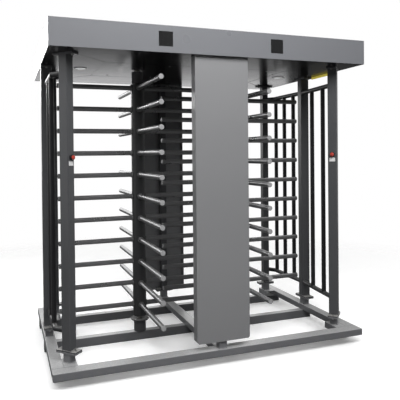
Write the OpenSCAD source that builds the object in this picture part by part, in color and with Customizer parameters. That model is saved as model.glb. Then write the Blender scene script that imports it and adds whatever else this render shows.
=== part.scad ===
// Double full height turnstile: two four-wing rotors side by side under one canopy.
// Millimetres. Origin under the middle of the base, +X to the right, +Y to the back, +Z up.

/* [Base] */
// Width of the base frame
base_w = 2375; // [2300:5:2500]
// Depth of the base frame
base_d = 1450; // [1420:5:1600]
// Height of the frame's beams
frame_h = 50; // [40:1:60]
// Width of the front beam
front_beam_w = 92; // [90:1:110]
// Width of the side and centre beams
side_beam_w = 80; // [76:1:90]
// Width of the cross beams on the floor
sleeper_w = 60; // [50:1:80]
// Height of the cross beams on the floor
sleeper_h = 70; // [50:1:90]
// Wall of all base beams
beam_wall = 3; // [2:0.5:5]

/* [Posts] */
// Side of the square front posts, which stand turned by 45 degrees
front_post_w = 70; // [60:1:76]
// Side of the other square posts, and depth of the middle posts
side_post_w = 60; // [50:1:64]
// Width of the middle posts
mid_post_w = 80; // [76:1:84]
// Wall of the posts
post_wall = 3; // [2:0.5:5]
// Distance of the front and rear posts' row from the ends of the base
row_inset = 182; // [170:1:190]
// Distance of the front posts from the sides of the base
front_inset = 126; // [122:1:132]
// Distance of the middle posts from the sides of the base
mid_inset = 40; // [40:1:44]
// Distance of the rear posts from the sides of the base
rear_inset = 139; // [132:1:142]
// Height of the stubs that the posts are bolted to
stub_h = 60; // [50:1:90]
// Length of the plates that join stubs and posts
plate_l = 160; // [150:1:180]
// Thickness of those plates
plate_t = 10; // [6:1:14]

/* [Canopy] */
// Clear height from the base frame to the canopy
passage_h = 2068; // [2060:1:2150]
// Height of the canopy's side
canopy_h = 182; // [176:1:220]
// Overhang of the canopy at the left and right
canopy_over_x = 4.5; // [2:0.5:20]
// Overhang of the canopy at the front and back
canopy_over_y = 34; // [20:1:60]
// Thickness of the sheet metal
sheet = 2; // [1.5:0.5:3]
// Distance from the outer bearers of the lock to the hatch's edge
hatch_edge = 137.5; // [110:0.5:160]
// Side of the indicator windows
window_w = 100; // [80:1:110]

/* [Rotors] */
// Gap between the wing tips and the fence
tip_clear = 39; // [34:0.5:46]
// Gap between the wing tips and the other rotor's column
column_pass = 148; // [120:1:180]
// Diameter of a wing's tubes
arm_d = 38; // [32:1:42]
// Wall of a wing's tubes
arm_wall = 2; // [1.5:0.5:3]
// Height from the left rotor's top tubes to the canopy
high_tier = 141; // [136:1:180]
// Tubes in each wing of the left rotor
left_tiers = 11; // [9:1:11]
// Height of the left rotor's lowest tubes over the base frame
low_tier = 172; // [160:1:176]
// Share of a tier by which the right rotor's tubes lie higher
tier_shift_share = 0.57; // [0.43:0.01:0.57]
// Diameter of the column
column_d = 108; // [100:1:114]
// Wall of the column
column_wall = 4; // [3:0.5:6]
// Diameter of the shafts
shaft_d = 40; // [36:1:44]
// Radial clearance of the shafts in their bearings
running_fit = 0.05; // [0.02:0.01:0.08]

/* [Side fences] */
// Diameter of the rails
rail_d = 38; // [34:1:40]
// Diameter of the upright bars
bar_d = 36; // [28:1:36]
// Distance of the rails from the sides of the base
rail_inset = 61; // [59:0.5:63]
// How much further out the left fence's front rails run
rail_offset = 17.5; // [0:0.5:20]
// Height of the lower rail over the base frame
low_rail = 205; // [180:1:240]
// Height of the upper rail over the base frame
high_rail = 1935; // [1880:1:1960]

/* [Panels] */
// Width of the front and rear panels
panel_w = 407; // [380:1:420]
// Depth of the panels' sides
panel_d = 70; // [66:1:76]
// Height of the panels over the base frame
panel_rise = 58; // [40:1:80]
// Cut-off corners at the panels' foot
panel_cut = 12; // [5:1:20]

/* [Emergency buttons] */
// Height of the buttons over the base frame
button_z = 1372; // [1200:1:1500]
// Diameter of the red button
button_d = 32; // [28:1:36]
// Travel of the button
button_travel = 4; // [3:0.5:6]

/* [Lock] */
// Radius of the index disc
disc_r = 95; // [90:1:100]
// Thickness of the index disc
disc_t = 12; // [10:1:14]

/* [Hidden] */
$fn = 48;

// Overrun of cutting shapes past the faces that they cut
cut = 1;
// Gap at welded and clamped joints, filled by the weld on the real thing
weld_gap = 0.1;
// Gap at the visible seams between sheets
seam = 1;
// Gap between a fixed cover and what it lies against
cover_gap = 0.3;

// Heights
z_frame = sleeper_h;
z_deck = z_frame + frame_h;
z_joint = z_deck + stub_h;
z_head = z_deck + passage_h;
gusset_t = 8;
z_gusset = z_head + sheet;
z_rail = z_gusset + gusset_t;
head_rail_w = 50;
head_rail_wall = 3;
z_head_plate = z_rail + head_rail_w;
head_plate_t = 8;
z_mech = z_head_plate + head_plate_t;
z_top = z_head + canopy_h;

// Half sizes and rows
half_w = base_w / 2;
half_d = base_d / 2;
y_row = half_d - row_inset;
x_front_post = half_w - front_inset;
x_mid_post = half_w - mid_inset;
x_rear_post = half_w - rear_inset;
rail_x = half_w - rail_inset;
canopy_x = half_w + canopy_over_x;
canopy_y = half_d + canopy_over_y;

// Rotor axes and reach of the wings, which pass the fence and the other rotor's column
column_r = column_d / 2;
fence_side = rail_x - rail_d / 2 - tip_clear;
pass_r = column_r + column_pass;
rotor_x = (fence_side + pass_r) / 3;
reach = fence_side - rotor_x;

// Centre posts, set back behind the panels
centre_set_back = 18;
y_centre_post = half_d - centre_set_back - side_post_w / 2;

// Corner rounding of the rolled tubes
beam_round = 4;
post_round = 6;

// Posts as x, y, turn of the plate's long side, and the post's size across and along the plate
front_turn = 45;
mid_turn = 90;
row_turn = 0;
FRONT_POSTS = [
    [-x_front_post, -y_row, -front_turn, front_post_w, front_post_w],
    [x_front_post, -y_row, front_turn, front_post_w, front_post_w]
];
MID_POSTS = [
    [-x_mid_post, 0, mid_turn, mid_post_w, side_post_w],
    [x_mid_post, 0, mid_turn, mid_post_w, side_post_w]
];
REAR_POSTS = [
    [-x_rear_post, y_row, row_turn, side_post_w, side_post_w],
    [x_rear_post, y_row, row_turn, side_post_w, side_post_w]
];
CENTRE_POSTS = [
    [0, -y_centre_post, row_turn, side_post_w, side_post_w],
    [0, y_centre_post, row_turn, side_post_w, side_post_w]
];
POSTS = concat(FRONT_POSTS, MID_POSTS, REAR_POSTS, CENTRE_POSTS);

// Plates and bolts of the posts
plate_lip = 3;
bolt_d = 12;
bolt_hole_gap = 0.5;
bolt_head_h = 8;
bolt_head_d = 20;
nut_h = 10;
bolt_edge = 22;
bolt_reach = plate_l / 2 - bolt_edge;
thread_gap = 0.05;
stub_w = side_post_w;

// Corner pads, the short beams that fill the corners under the posts
pad_w = 92;
pad_l = 150;

// Cross beams on the floor
front_sleeper_inset = 20;
anchor_x = 600;
anchor_r = 7;

// Indicator windows
window_z = z_head + canopy_h / 2;
window_t = 3;
window_lip = 8;
window_gap = 0.2;

// Top cover and the inner flanges of fascias and soffits
cover_drop = 10;
flange_w = 25;
soffit_lip_h = 25;

// Service hatch under the bearers, and the mitred panels round it
bearer_x = 190;
hatch_x = rotor_x + bearer_x + hatch_edge;
tray_w = canopy_x - hatch_x - seam;
hatch_y = canopy_y - tray_w - seam;
shaft_pass = 8;
shaft_hole_r = shaft_d / 2 + shaft_pass;

// Lamps in the left and right soffits
lamp_edge = 131.5;
lamp_x = canopy_x - tray_w + lamp_edge;
lamp_r = 53.5;
lamp_can_r = 45;
lamp_can_h = 36;
lamp_lip = 3;
lens_r = 41;
lens_t = 3;

// Yellow strip under the right edge
strip_y = 215;
strip_l = 260;
strip_h = 20;
strip_t = 3;
strip_inset = 8;

// Column
column_gap_low = 75;
column_gap_high = 111;
z_column = z_deck + column_gap_low;
z_column_top = z_head - column_gap_high;
z_left_tiers = z_deck + low_tier;
tier_pitch = (z_head - high_tier - z_left_tiers) / (left_tiers - 1);
z_right_tiers = z_left_tiers + tier_shift_share * tier_pitch;
right_tiers = left_tiers - 1;
column_end_t = 12;
stub_shaft_l = 50;
shaft_r = shaft_d / 2;

// Wings
cap_t = 4;
cap_plug = 12;
cap_play = 0.1;
collar_t = 8;
collar_lip = 4;

// Foot bearing on the middle cross beam
housing_r = 49;
housing_h = 102;
housing_flange_r = 73;
housing_flange_t = 9;
housing_skirt_h = 16;
housing_floor = 14;
shaft_end_gap = 0.3;

// Shaft coupling over the column
coupling_r = 46;
coupling_h = 96;
coupling_rise = 6;
coupling_z = z_column_top + coupling_rise;
coupling_split = 2;
coupling_lug_w = 30;
coupling_lug_out = 16;
coupling_bolt_d = 10;
coupling_bolt_head_r = 8;
coupling_bolt_head_h = 6;
coupling_bolt_shift = 6;
coupling_bolt_out = coupling_r + coupling_bolt_shift;
coupling_bolt_rise = 22;

// Top bearing
bearing_plate_w = 110;
bearing_plate_t = 12;
bearing_boss_r = 38;
bearing_h = 30;

// Index disc with four notches
disc_lift = 6;
z_disc = z_mech + bearing_h + disc_lift;
hub_r = 34;
hub_h = 20;
notch_w = 18;
notch_depth = 12;
notch_turn = 45;
head_shaft_over = 8;

// Head plates, which lie on the bearers
head_plate_edge = 17;
head_plate_x = bearer_x + head_rail_w / 2 + head_plate_edge;
head_plate_y = 130;

// Pawls: lever, nose and tail
rim_gap = 1;
nose_l = 12;
nose_w = 12;
nose_shift = 1.6;
pawl_w = 14;
pawl_t = 10;
pawl_reach = 60;
pawl_tail = 40;
pawl_end = 8;
pivot_r = 6;
pivot_base_r = 10;
pivot_washer_t = 1.5;
pawl_play = 0.3;
pawl_line = disc_r + rim_gap + nose_l + pawl_w / 2;
z_pawl = z_disc + (disc_t - pawl_t) / 2;

// Solenoids and plungers
plunger_r = 5;
tongue_gap = 0.6;
pin_r = 3;
slot_w = 7;
slot_l = 9;
tongue_t = 5;
tongue_w = 12;
solenoid_gap = 21;
solenoid_l = 54;
solenoid_w = 40;
solenoid_wall = 6;
plunger_in = 34;
tongue_lap = 6;

// Control box
box_w = 300;
box_d = 220;
box_h = 90;
box_wall = 2;
box_y = 380;

// Emergency buttons
collar_r = 18;
collar_floor = 1;
button_stem_r = 6;
stem_l = 7;
collar_h = collar_floor + stem_l + button_travel;
button_head_h = 11;
button_stop_gap = 1;
button_lift = button_travel + button_stop_gap;

// Label plates
label_w = 45;
label_h = 30;
label_t = 1;
label_drop = 41;

// Fences
z_low_rail = z_deck + low_rail;
z_high_rail = z_deck + high_rail;
rail_bend_set = 70;
rail_bend_y = y_row - rail_bend_set;
bent_rail_x = rail_x + rail_offset;
bent_rail_y = y_row - bent_rail_x + x_front_post;
rail_end_lap = 17;
front_bar_near = 168;
front_bar_far = 159;
rear_bar_near = 102;
rear_bar_far = 102;

// Screws of the service hatch
screw_d = 6;
screw_head_r = 5.5;
screw_head_h = 3;
hatch_screw_edge = 48;
hatch_screw_y = hatch_y - hatch_screw_edge;

// Spacers between the panels and their posts
spacer_rows = 4;
spacer_edge = 160;
spacer_w = 40;
spacer_h = 60;

// Threaded plates over the posts, inside the canopy
gusset_l = 200;
gusset_w = 100;
centre_gusset_w = 90;
mid_gusset_w = 80;

// Flat square with rounded corners, centred
module rounded(w, d, r) {
    square([w - 2 * r, d], center = true);
    square([w, d - 2 * r], center = true);
    for (x = [-1, 1], y = [-1, 1])
        translate([x * (w / 2 - r), y * (d / 2 - r)]) circle(r);
}

// Section of a rectangular tube, centred
module tube_section(w, d, wall, r) {
    difference() {
        rounded(w, d, r);
        square([w - 2 * wall, d - 2 * wall], center = true);
    }
}

// Rectangular tube along +X from x = 0, resting on z = 0, centred in Y
module beam(l, w, h, wall = beam_wall) {
    rotate([90, 0, 90])
        linear_extrude(l)
            translate([0, h / 2]) tube_section(w, h, wall, beam_round);
}

// Rectangular tube along +Y from y = 0
module beam_y(l, w, h, wall = beam_wall) {
    rotate([0, 0, 90]) beam(l, w, h, wall);
}

// Round bar from point a to point b
module rod(a, b, d) {
    v = b - a;
    l = norm(v);
    translate(a)
        rotate([0, acos(v[2] / l), atan2(v[1], v[0])])
            cylinder(h = l, d = d);
}

// Heights of the panels' spacers
function spacer_z(i) =
    z_deck + panel_rise + spacer_edge
    + i * (passage_h - panel_rise - 2 * spacer_edge) / (spacer_rows - 1);

// Places its children at a post, turned with the post's plate
module at_post(p) {
    translate([p[0], p[1], 0]) rotate(p[2]) children();
}

// Places its children at the two bolts of a post's plate
module at_bolts() {
    for (s = [-1, 1]) translate([s * bolt_reach, 0, 0]) children();
}

// Joint plate with its two bolt holes
module joint_plate(w) {
    difference() {
        translate([-plate_l / 2, -w / 2 - plate_lip, 0]) cube([plate_l, w + 2 * plate_lip, plate_t]);
        at_bolts() translate([0, 0, -cut]) cylinder(h = plate_t + 2 * cut, d = bolt_d + 2 * bolt_hole_gap);
    }
}

// Post between its foot plate and its head plate, w across the plates and l along them
module post(w, l) {
    translate([0, 0, z_joint + plate_t]) joint_plate(w);
    translate([0, 0, z_head - plate_t]) joint_plate(w);
    translate([0, 0, z_joint + 2 * plate_t + weld_gap])
        linear_extrude(z_head - z_joint - 3 * plate_t - 2 * weld_gap)
            tube_section(l, w, post_wall, post_round);
}

// Hexagonal bolt with its head upward at z = 0 and its shank below
module bolt_down(l) {
    cylinder(h = bolt_head_h, d = bolt_head_d, $fn = 6);
    translate([0, 0, -l]) cylinder(h = l + bolt_head_h / 2, d = bolt_d);
}

module base_front_beam() {
    color("dimgray")
        translate([-half_w, -half_d + front_beam_w / 2, z_frame]) beam(base_w, front_beam_w, frame_h);
}

module base_side_beams() {
    color("gray")
        for (s = [-1, 1])
            translate([s * (half_w - side_beam_w / 2), -half_d + front_beam_w, z_frame])
                beam_y(base_d - front_beam_w, side_beam_w, frame_h);
}

module base_centre_beam() {
    color("gray")
        translate([0, -half_d + front_beam_w, z_frame]) beam_y(base_d - front_beam_w, side_beam_w, frame_h);
}

// Holes for the floor anchors, through both walls of a cross beam
module anchor_holes() {
    for (s = [-1, 1])
        translate([s * anchor_x, 0, -cut]) cylinder(h = sleeper_h + 2 * cut, r = anchor_r);
}

module floor_sleepers() {
    color("dimgray") {
        translate([0, -y_row, 0]) difference() {
            translate([-half_w + front_sleeper_inset, 0, 0])
                beam(base_w - 2 * front_sleeper_inset, sleeper_w, sleeper_h);
            anchor_holes();
        }
        translate([-half_w, 0, 0]) beam(base_w, sleeper_w, sleeper_h);
        translate([0, y_row, 0]) difference() {
            translate([-half_w, 0, 0]) beam(base_w, sleeper_w, sleeper_h);
            anchor_holes();
        }
    }
}

module corner_pads() {
    color("gray")
        for (s = [-1, 1]) {
            translate([s * (half_w - side_beam_w - pad_w / 2), -half_d + front_beam_w, z_frame])
                beam_y(pad_l, pad_w, frame_h);
            translate([s * (half_w - side_beam_w - pad_w / 2), y_row - pad_l / 2, z_frame])
                beam_y(pad_l, pad_w, frame_h);
        }
}

module post_stubs() {
    color("dimgray")
        for (p = POSTS) at_post(p) {
            translate([0, 0, z_deck])
                linear_extrude(stub_h - weld_gap) tube_section(stub_w, stub_w, post_wall, post_round);
            translate([0, 0, z_joint]) joint_plate(p[3]);
        }
}

module foot_bolts() {
    color("silver")
        for (p = POSTS) at_post(p) at_bolts() {
            translate([0, 0, z_joint + 2 * plate_t]) bolt_down(2 * plate_t + nut_h);
            translate([0, 0, z_joint - nut_h]) difference() {
                cylinder(h = nut_h, d = bolt_head_d, $fn = 6);
                translate([0, 0, -cut]) cylinder(h = nut_h + 2 * cut, d = bolt_d + 2 * thread_gap);
            }
        }
}

module front_posts() {
    color([0.27, 0.28, 0.3]) for (p = FRONT_POSTS) at_post(p) post(p[3], p[4]);
}

module mid_posts() {
    color([0.27, 0.28, 0.3]) for (p = MID_POSTS) at_post(p) post(p[3], p[4]);
}

module rear_posts() {
    color([0.27, 0.28, 0.3]) for (p = REAR_POSTS) at_post(p) post(p[3], p[4]);
}

// Centre posts with the spacers that carry the panels
module centre_posts() {
    color([0.27, 0.28, 0.3]) {
        for (p = CENTRE_POSTS) at_post(p) post(p[3], p[4]);
        for (turn = [0, 180], i = [0 : spacer_rows - 1])
            rotate(turn) translate([-spacer_w / 2, -half_d + sheet, spacer_z(i) - spacer_h / 2])
                cube([spacer_w, centre_set_back - sheet - weld_gap, spacer_h]);
    }
}

// Folded panel seen from outside at -Y
module panel() {
    panel_h = passage_h - panel_rise - cover_gap;
    z0 = z_deck + panel_rise;
    inner_w = panel_w - 2 * sheet;
    translate([0, -half_d, 0]) difference() {
        intersection() {
            translate([-panel_w / 2, 0, z0]) cube([panel_w, panel_d, panel_h]);
            translate([0, -cut, z0])
                rotate([-90, 0, 0]) mirror([0, 1, 0])
                    linear_extrude(panel_d + 2 * cut)
                        polygon([
                            [-panel_w / 2 + panel_cut, 0], [panel_w / 2 - panel_cut, 0],
                            [panel_w / 2, panel_cut], [panel_w / 2, panel_h],
                            [-panel_w / 2, panel_h], [-panel_w / 2, panel_cut]
                        ]);
        }
        translate([-inner_w / 2, sheet, z0 - cut]) cube([inner_w, panel_d, panel_h + 2 * cut]);
    }
}

module front_panel() {
    color([0.5, 0.51, 0.53]) panel();
}

module rear_panel() {
    color([0.5, 0.51, 0.53]) rotate(180) panel();
}

// Screws that hold the service hatch to the bearers
module hatch_screws() {
    color("silver")
        for (s = [-1, 1], b = [-1, 1], e = [-1, 1])
            translate([s * rotor_x + b * bearer_x, e * hatch_screw_y, z_head]) {
                translate([0, 0, -screw_head_h]) cylinder(h = screw_head_h, r = screw_head_r);
                translate([0, 0, -screw_head_h / 2])
                    cylinder(h = z_rail - z_head + head_rail_wall + screw_head_h / 2, d = screw_d);
            }
}

// Solid outline of a post, grown by the weld gap
module post_body(p) {
    at_post(p)
        linear_extrude(z_top) square([p[4] + 2 * weld_gap, p[3] + 2 * weld_gap], center = true);
}

// Rail of the fence between the middle post and the front post, at height z
module front_rail(z) {
    start = [rail_x, -side_post_w / 2, z];
    run = [x_front_post, -y_row, z] - start;
    difference() {
        rod(start - rail_d / 2 * run / norm(run), start + run, rail_d);
        translate([rail_x - rail_d, -side_post_w / 2 - weld_gap, z - rail_d])
            cube([2 * rail_d, rail_d, 2 * rail_d]);
        post_body(FRONT_POSTS[1]);
    }
}

// Block that cuts a rail at the mitre of its bend, beyond it or before it
module mitre_block(bend, turn, side) {
    translate(bend) rotate(turn / 2)
        translate([-rail_d, side > 0 ? -weld_gap / 2 : weld_gap / 2 - 3 * rail_d, -rail_d])
            cube([2 * rail_d, 3 * rail_d, 2 * rail_d]);
}

// Rail from the middle post to the post given as a child, in two lengths that meet in a mitre
module bent_rail(bend, finish) {
    run = finish - bend;
    turn = atan2(-run[0], run[1]);
    difference() {
        rod([bend[0], side_post_w / 2 + weld_gap, bend[2]], bend + [0, rail_d, 0], rail_d);
        mitre_block(bend, turn, 1);
    }
    difference() {
        rod(bend - rail_d * run / norm(run), finish, rail_d);
        mitre_block(bend, turn, -1);
        children();
    }
}

// Front rail that runs straight on and turns into the front post at the end
module bent_front_rail(z) {
    mirror([0, 1, 0])
        bent_rail([bent_rail_x, bent_rail_y, z], [x_front_post, y_row, z])
            mirror([0, 1, 0]) post_body(FRONT_POSTS[1]);
}

module rear_rail(z) {
    finish = [x_rear_post + side_post_w / 2 - rail_end_lap, y_row + rail_end_lap, z];
    bent_rail([rail_x, rail_bend_y, z], finish) post_body(REAR_POSTS[1]);
}

// Places its children at each bar of a fence, their Y axis along the rails there
module at_bars(bent) {
    run = y_row - side_post_w / 2;
    slope = bent ? 0 : (rail_x - x_front_post) / run;
    start_x = bent ? bent_rail_x : rail_x;
    for (y = [front_bar_near, run - front_bar_far])
        translate([start_x - slope * y, -y - side_post_w / 2, 0]) rotate(-atan(slope)) children();
    for (y = [rear_bar_near, (rear_bar_near + run - rear_bar_far) / 2, run - rear_bar_far])
        translate([rail_x, y + side_post_w / 2, 0]) children();
}

// Right fence, or the mirrored left one, whose front rails are bent
module fence(bent) {
    for (z = [z_low_rail, z_high_rail]) {
        if (bent) bent_front_rail(z);
        else front_rail(z);
        rear_rail(z);
    }
    at_bars(bent) difference() {
        translate([0, 0, z_low_rail]) cylinder(h = z_high_rail - z_low_rail, d = bar_d);
        for (z = [z_low_rail, z_high_rail])
            translate([0, -bar_d, z]) rotate([-90, 0, 0]) cylinder(h = 2 * bar_d, d = rail_d + 2 * weld_gap);
    }
}

module left_fence() {
    color([0.2, 0.2, 0.22]) mirror([1, 0, 0]) fence(true);
}

module right_fence() {
    color([0.2, 0.2, 0.22]) fence(false);
}

// Plan of a mitred strip: half length, distance of its outer edge, inset of its ends
module mitre_plan(half_l, edge, inset) {
    polygon([
        [-half_l + inset, -edge], [half_l - inset, -edge],
        [half_l - tray_w - inset, -edge + tray_w], [-half_l + tray_w + inset, -edge + tray_w]
    ]);
}

// Outer sheet along X at -Y with a narrow flange inwards at the top, mitred at both ends
module fascia(half_l, edge, inset) {
    intersection() {
        union() {
            translate([-half_l, -edge, z_head]) cube([2 * half_l, sheet, canopy_h]);
            translate([-half_l, -edge, z_top - cover_drop - 2 * sheet]) cube([2 * half_l, flange_w, sheet]);
        }
        translate([0, 0, z_head - cut]) linear_extrude(canopy_h + 2 * cut) mitre_plan(half_l, edge, inset);
    }
}

// Underside panel behind the fascia with a lip up against it, mitred at both ends
module soffit(half_l, edge, inset) {
    intersection() {
        union() {
            translate([-half_l, -edge + sheet, z_head]) cube([2 * half_l, tray_w, sheet]);
            translate([-half_l, -edge + sheet, z_head]) cube([2 * half_l, sheet, soffit_lip_h]);
        }
        translate([0, 0, z_head - cut]) linear_extrude(canopy_h + 2 * cut) mitre_plan(half_l, edge, inset);
    }
}

// Holes for the bolts of every post
module head_bolt_holes(gap) {
    for (p = POSTS) at_post(p) at_bolts()
        translate([0, 0, z_head - cut]) cylinder(h = sheet + gusset_t + 2 * cut, d = bolt_d + 2 * gap);
}

// Front and rear fascias with their window openings
module long_fascias() {
    color([0.52, 0.53, 0.56])
        for (turn = [0, 180]) rotate(turn) difference() {
            fascia(canopy_x, canopy_y, 0);
            for (s = [-1, 1])
                translate([s * rotor_x - window_w / 2, -canopy_y - cut, window_z - window_w / 2])
                    cube([window_w, sheet + 2 * cut, window_w]);
        }
}

module end_fascias() {
    color([0.52, 0.53, 0.56])
        for (turn = [-90, 90]) rotate(turn) fascia(canopy_y, canopy_x, seam);
}

module long_soffits() {
    color([0.7, 0.71, 0.72]) difference() {
        for (turn = [0, 180]) rotate(turn) soffit(canopy_x, canopy_y, 0);
        head_bolt_holes(bolt_hole_gap);
    }
}

module end_soffits() {
    color([0.7, 0.71, 0.72]) difference() {
        for (turn = [-90, 90]) rotate(turn) soffit(canopy_y, canopy_x, seam);
        head_bolt_holes(bolt_hole_gap);
        for (s = [-1, 1])
            translate([s * lamp_x, 0, z_head - cut]) cylinder(h = sheet + 2 * cut, r = lamp_can_r + seam);
    }
}

module top_cover() {
    color([0.6, 0.61, 0.62])
        translate([-canopy_x + sheet + seam, -canopy_y + sheet + seam, z_top - cover_drop - sheet])
            cube([2 * (canopy_x - sheet - seam), 2 * (canopy_y - sheet - seam), sheet]);
}

// Shallow tray that closes the canopy's underside, its lips against the head rails
module service_hatch() {
    color([0.72, 0.73, 0.74]) difference() {
        translate([-hatch_x, -hatch_y, z_head]) cube([2 * hatch_x, 2 * hatch_y, z_rail - z_head]);
        translate([-hatch_x + sheet, -hatch_y + sheet, z_head + sheet])
            cube([2 * (hatch_x - sheet), 2 * (hatch_y - sheet), gusset_t + cut]);
        for (s = [-1, 1]) {
            translate([s * rotor_x, 0, z_head - cut]) cylinder(h = sheet + 2 * cut, r = shaft_hole_r);
            for (b = [-1, 1], e = [-1, 1])
                translate([s * rotor_x + b * bearer_x, e * hatch_screw_y, z_head - cut])
                    cylinder(h = sheet + 2 * cut, d = screw_d + 2 * bolt_hole_gap);
        }
    }
}

// Frame inside the canopy: side, centre and cross rails and the bearers of the locks
module head_rails() {
    bearer_l = 2 * y_row - head_rail_w - 2 * weld_gap;
    cross_l = x_mid_post - head_rail_w - 2 * weld_gap;
    cross_x = head_rail_w / 2 + weld_gap;
    color("dimgray") {
        for (s = [-1, 1]) {
            translate([s * x_mid_post, -y_row - head_rail_w / 2, z_rail])
                beam_y(2 * y_row + head_rail_w, head_rail_w, head_rail_w, head_rail_wall);
            for (e = [-1, 1])
                translate([e > 0 ? cross_x : -cross_x - cross_l, s * y_row, z_rail])
                    beam(cross_l, head_rail_w, head_rail_w, head_rail_wall);
            for (b = [-1, 1])
                translate([s * rotor_x + b * bearer_x, -bearer_l / 2, z_rail]) difference() {
                    beam_y(bearer_l, head_rail_w, head_rail_w, head_rail_wall);
                    for (e = [-1, 1])
                        translate([0, bearer_l / 2 + e * hatch_screw_y, -cut])
                            cylinder(h = head_rail_wall + 2 * cut, d = screw_d + 2 * thread_gap);
                }
        }
        translate([0, -y_centre_post - side_post_w / 2, z_rail])
            beam_y(2 * y_centre_post + side_post_w, head_rail_w, head_rail_w, head_rail_wall);
    }
}

// Width of the threaded plate over a post
function gusset_width(p) = p[0] == 0 ? centre_gusset_w : p[1] == 0 ? mid_gusset_w : gusset_w;

// Threaded plates that the posts are bolted to, inside the canopy
module head_gussets() {
    color("dimgray") difference() {
        for (p = POSTS)
            at_post(p) translate([0, 0, z_gusset + gusset_t / 2])
                cube([gusset_l, gusset_width(p), gusset_t], center = true);
        head_bolt_holes(thread_gap);
    }
}

module head_bolts() {
    color("silver")
        for (p = POSTS) at_post(p) at_bolts()
            translate([0, 0, z_head - plate_t]) mirror([0, 0, 1])
                bolt_down(plate_t + sheet + gusset_t - cover_gap);
}

module lamp_bezels() {
    color("silver")
        for (s = [-1, 1]) translate([s * lamp_x, 0, z_head]) difference() {
            union() {
                translate([0, 0, -lamp_lip]) cylinder(h = lamp_lip, r = lamp_r);
                cylinder(h = lamp_can_h, r = lamp_can_r);
            }
            translate([0, 0, -lamp_lip - cut]) cylinder(h = lamp_can_h - sheet + cut, r = lens_r);
        }
}

module lamp_lenses() {
    color([0.95, 0.95, 0.9])
        for (s = [-1, 1])
            translate([s * lamp_x, 0, z_head - lamp_lip]) cylinder(h = lens_t, r = lens_r - weld_gap);
}

module indicator_windows() {
    color([0.05, 0.05, 0.06])
        for (turn = [0, 180], s = [-1, 1]) rotate(turn) translate([s * rotor_x, -canopy_y, window_z]) {
            translate([0, sheet / 2, 0])
                cube([window_w - 2 * window_gap, sheet, window_w - 2 * window_gap], center = true);
            translate([0, sheet + window_t / 2, 0])
                cube([window_w + 2 * window_lip, window_t, window_w + 2 * window_lip], center = true);
        }
}

module edge_strip() {
    color("gold")
        translate([canopy_x - strip_inset - strip_t, -strip_y - strip_l / 2, z_head - strip_h])
            cube([strip_t, strip_l, strip_h]);
}

// Lane-side face of the left or right front post (s = -1 or 1), +Z outwards from the face
module at_button(s, z) {
    translate([s * x_front_post, -y_row, z])
        rotate([0, 0, s > 0 ? -front_turn - 90 : -front_turn])
            rotate([0, 90, 0])
                translate([0, 0, front_post_w / 2]) children();
}

module button_collars() {
    color([0.08, 0.08, 0.08])
        for (s = [-1, 1]) at_button(s, z_deck + button_z) difference() {
            cylinder(h = collar_h, r = collar_r);
            translate([0, 0, collar_h - button_travel - stem_l])
                cylinder(h = button_travel + stem_l + cut, r = button_stem_r + running_fit);
        }
}

// Red mushroom button, which slides into its collar
module button(s) {
    at_button(s, z_deck + button_z) {
        translate([0, 0, collar_h - stem_l]) cylinder(h = stem_l + button_lift + cut, r = button_stem_r);
        translate([0, 0, collar_h + button_lift]) rotate_extrude() polygon(button_outline());
    }
}

// Domed outline of the button's head
function button_outline() = concat(
    [[0, 0], [button_d / 2, 0]],
    [for (i = [0 : 6]) [button_d / 2 * cos(i * 15), button_head_h * (1 + 2 * sin(i * 15)) / 3]]
);

module left_button() {
    color("red") button(-1);
}

module right_button() {
    color("red") button(1);
}

module label_plates() {
    color("white")
        for (s = [-1, 1]) at_button(s, z_deck + button_z - label_drop)
            translate([0, 0, label_t / 2]) cube([label_h, label_w, label_t], center = true);
}

// Bearing housing that stands on the middle cross beam
module foot_bearings() {
    color([0.25, 0.25, 0.26])
        for (s = [-1, 1]) translate([s * rotor_x, 0, z_frame]) difference() {
            rotate_extrude()
                polygon([
                    [0, 0], [housing_r, 0],
                    [housing_r, housing_h - housing_flange_t - housing_skirt_h],
                    [housing_flange_r, housing_h - housing_flange_t],
                    [housing_flange_r, housing_h], [0, housing_h]
                ]);
            translate([0, 0, housing_floor]) cylinder(h = housing_h, r = shaft_r + running_fit);
        }
}

module top_bearings() {
    color([0.3, 0.31, 0.32])
        for (s = [-1, 1]) translate([s * rotor_x, 0, z_mech]) difference() {
            union() {
                translate([-bearing_plate_w / 2, -bearing_plate_w / 2, 0])
                    cube([bearing_plate_w, bearing_plate_w, bearing_plate_t]);
                cylinder(h = bearing_h, r = bearing_boss_r);
            }
            translate([0, 0, -cut]) cylinder(h = bearing_h + 2 * cut, r = shaft_r + running_fit);
        }
}

module head_plates() {
    color([0.55, 0.55, 0.5])
        for (s = [-1, 1]) translate([s * rotor_x, 0, z_head_plate]) difference() {
            translate([-head_plate_x, -head_plate_y, 0])
                cube([2 * head_plate_x, 2 * head_plate_y, head_plate_t]);
            translate([0, 0, -cut]) cylinder(h = head_plate_t + 2 * cut, r = shaft_hole_r);
        }
}

// Column: tube, end discs and the short shaft on top
module column(s) {
    h = z_column_top - z_column;
    translate([s * rotor_x, 0, z_column]) {
        difference() {
            cylinder(h = h, r = column_r);
            translate([0, 0, column_end_t]) cylinder(h = h - 2 * column_end_t, r = column_r - column_wall);
            translate([0, 0, -cut]) cylinder(h = column_end_t + 2 * cut, r = shaft_r + weld_gap);
        }
        translate([0, 0, h - column_end_t / 2]) cylinder(h = stub_shaft_l + column_end_t / 2, r = shaft_r);
    }
}

module left_column() {
    color([0.3, 0.31, 0.33]) column(-1);
}

module right_column() {
    color([0.3, 0.31, 0.33]) column(1);
}

// Places its children at every tube of a rotor: along +X at the tube's height
module at_arms(s, tiers, z0) {
    for (i = [0 : tiers - 1], turn = [0 : 90 : 270])
        translate([s * rotor_x, 0, z0 + i * tier_pitch]) rotate(turn) children();
}

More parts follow.
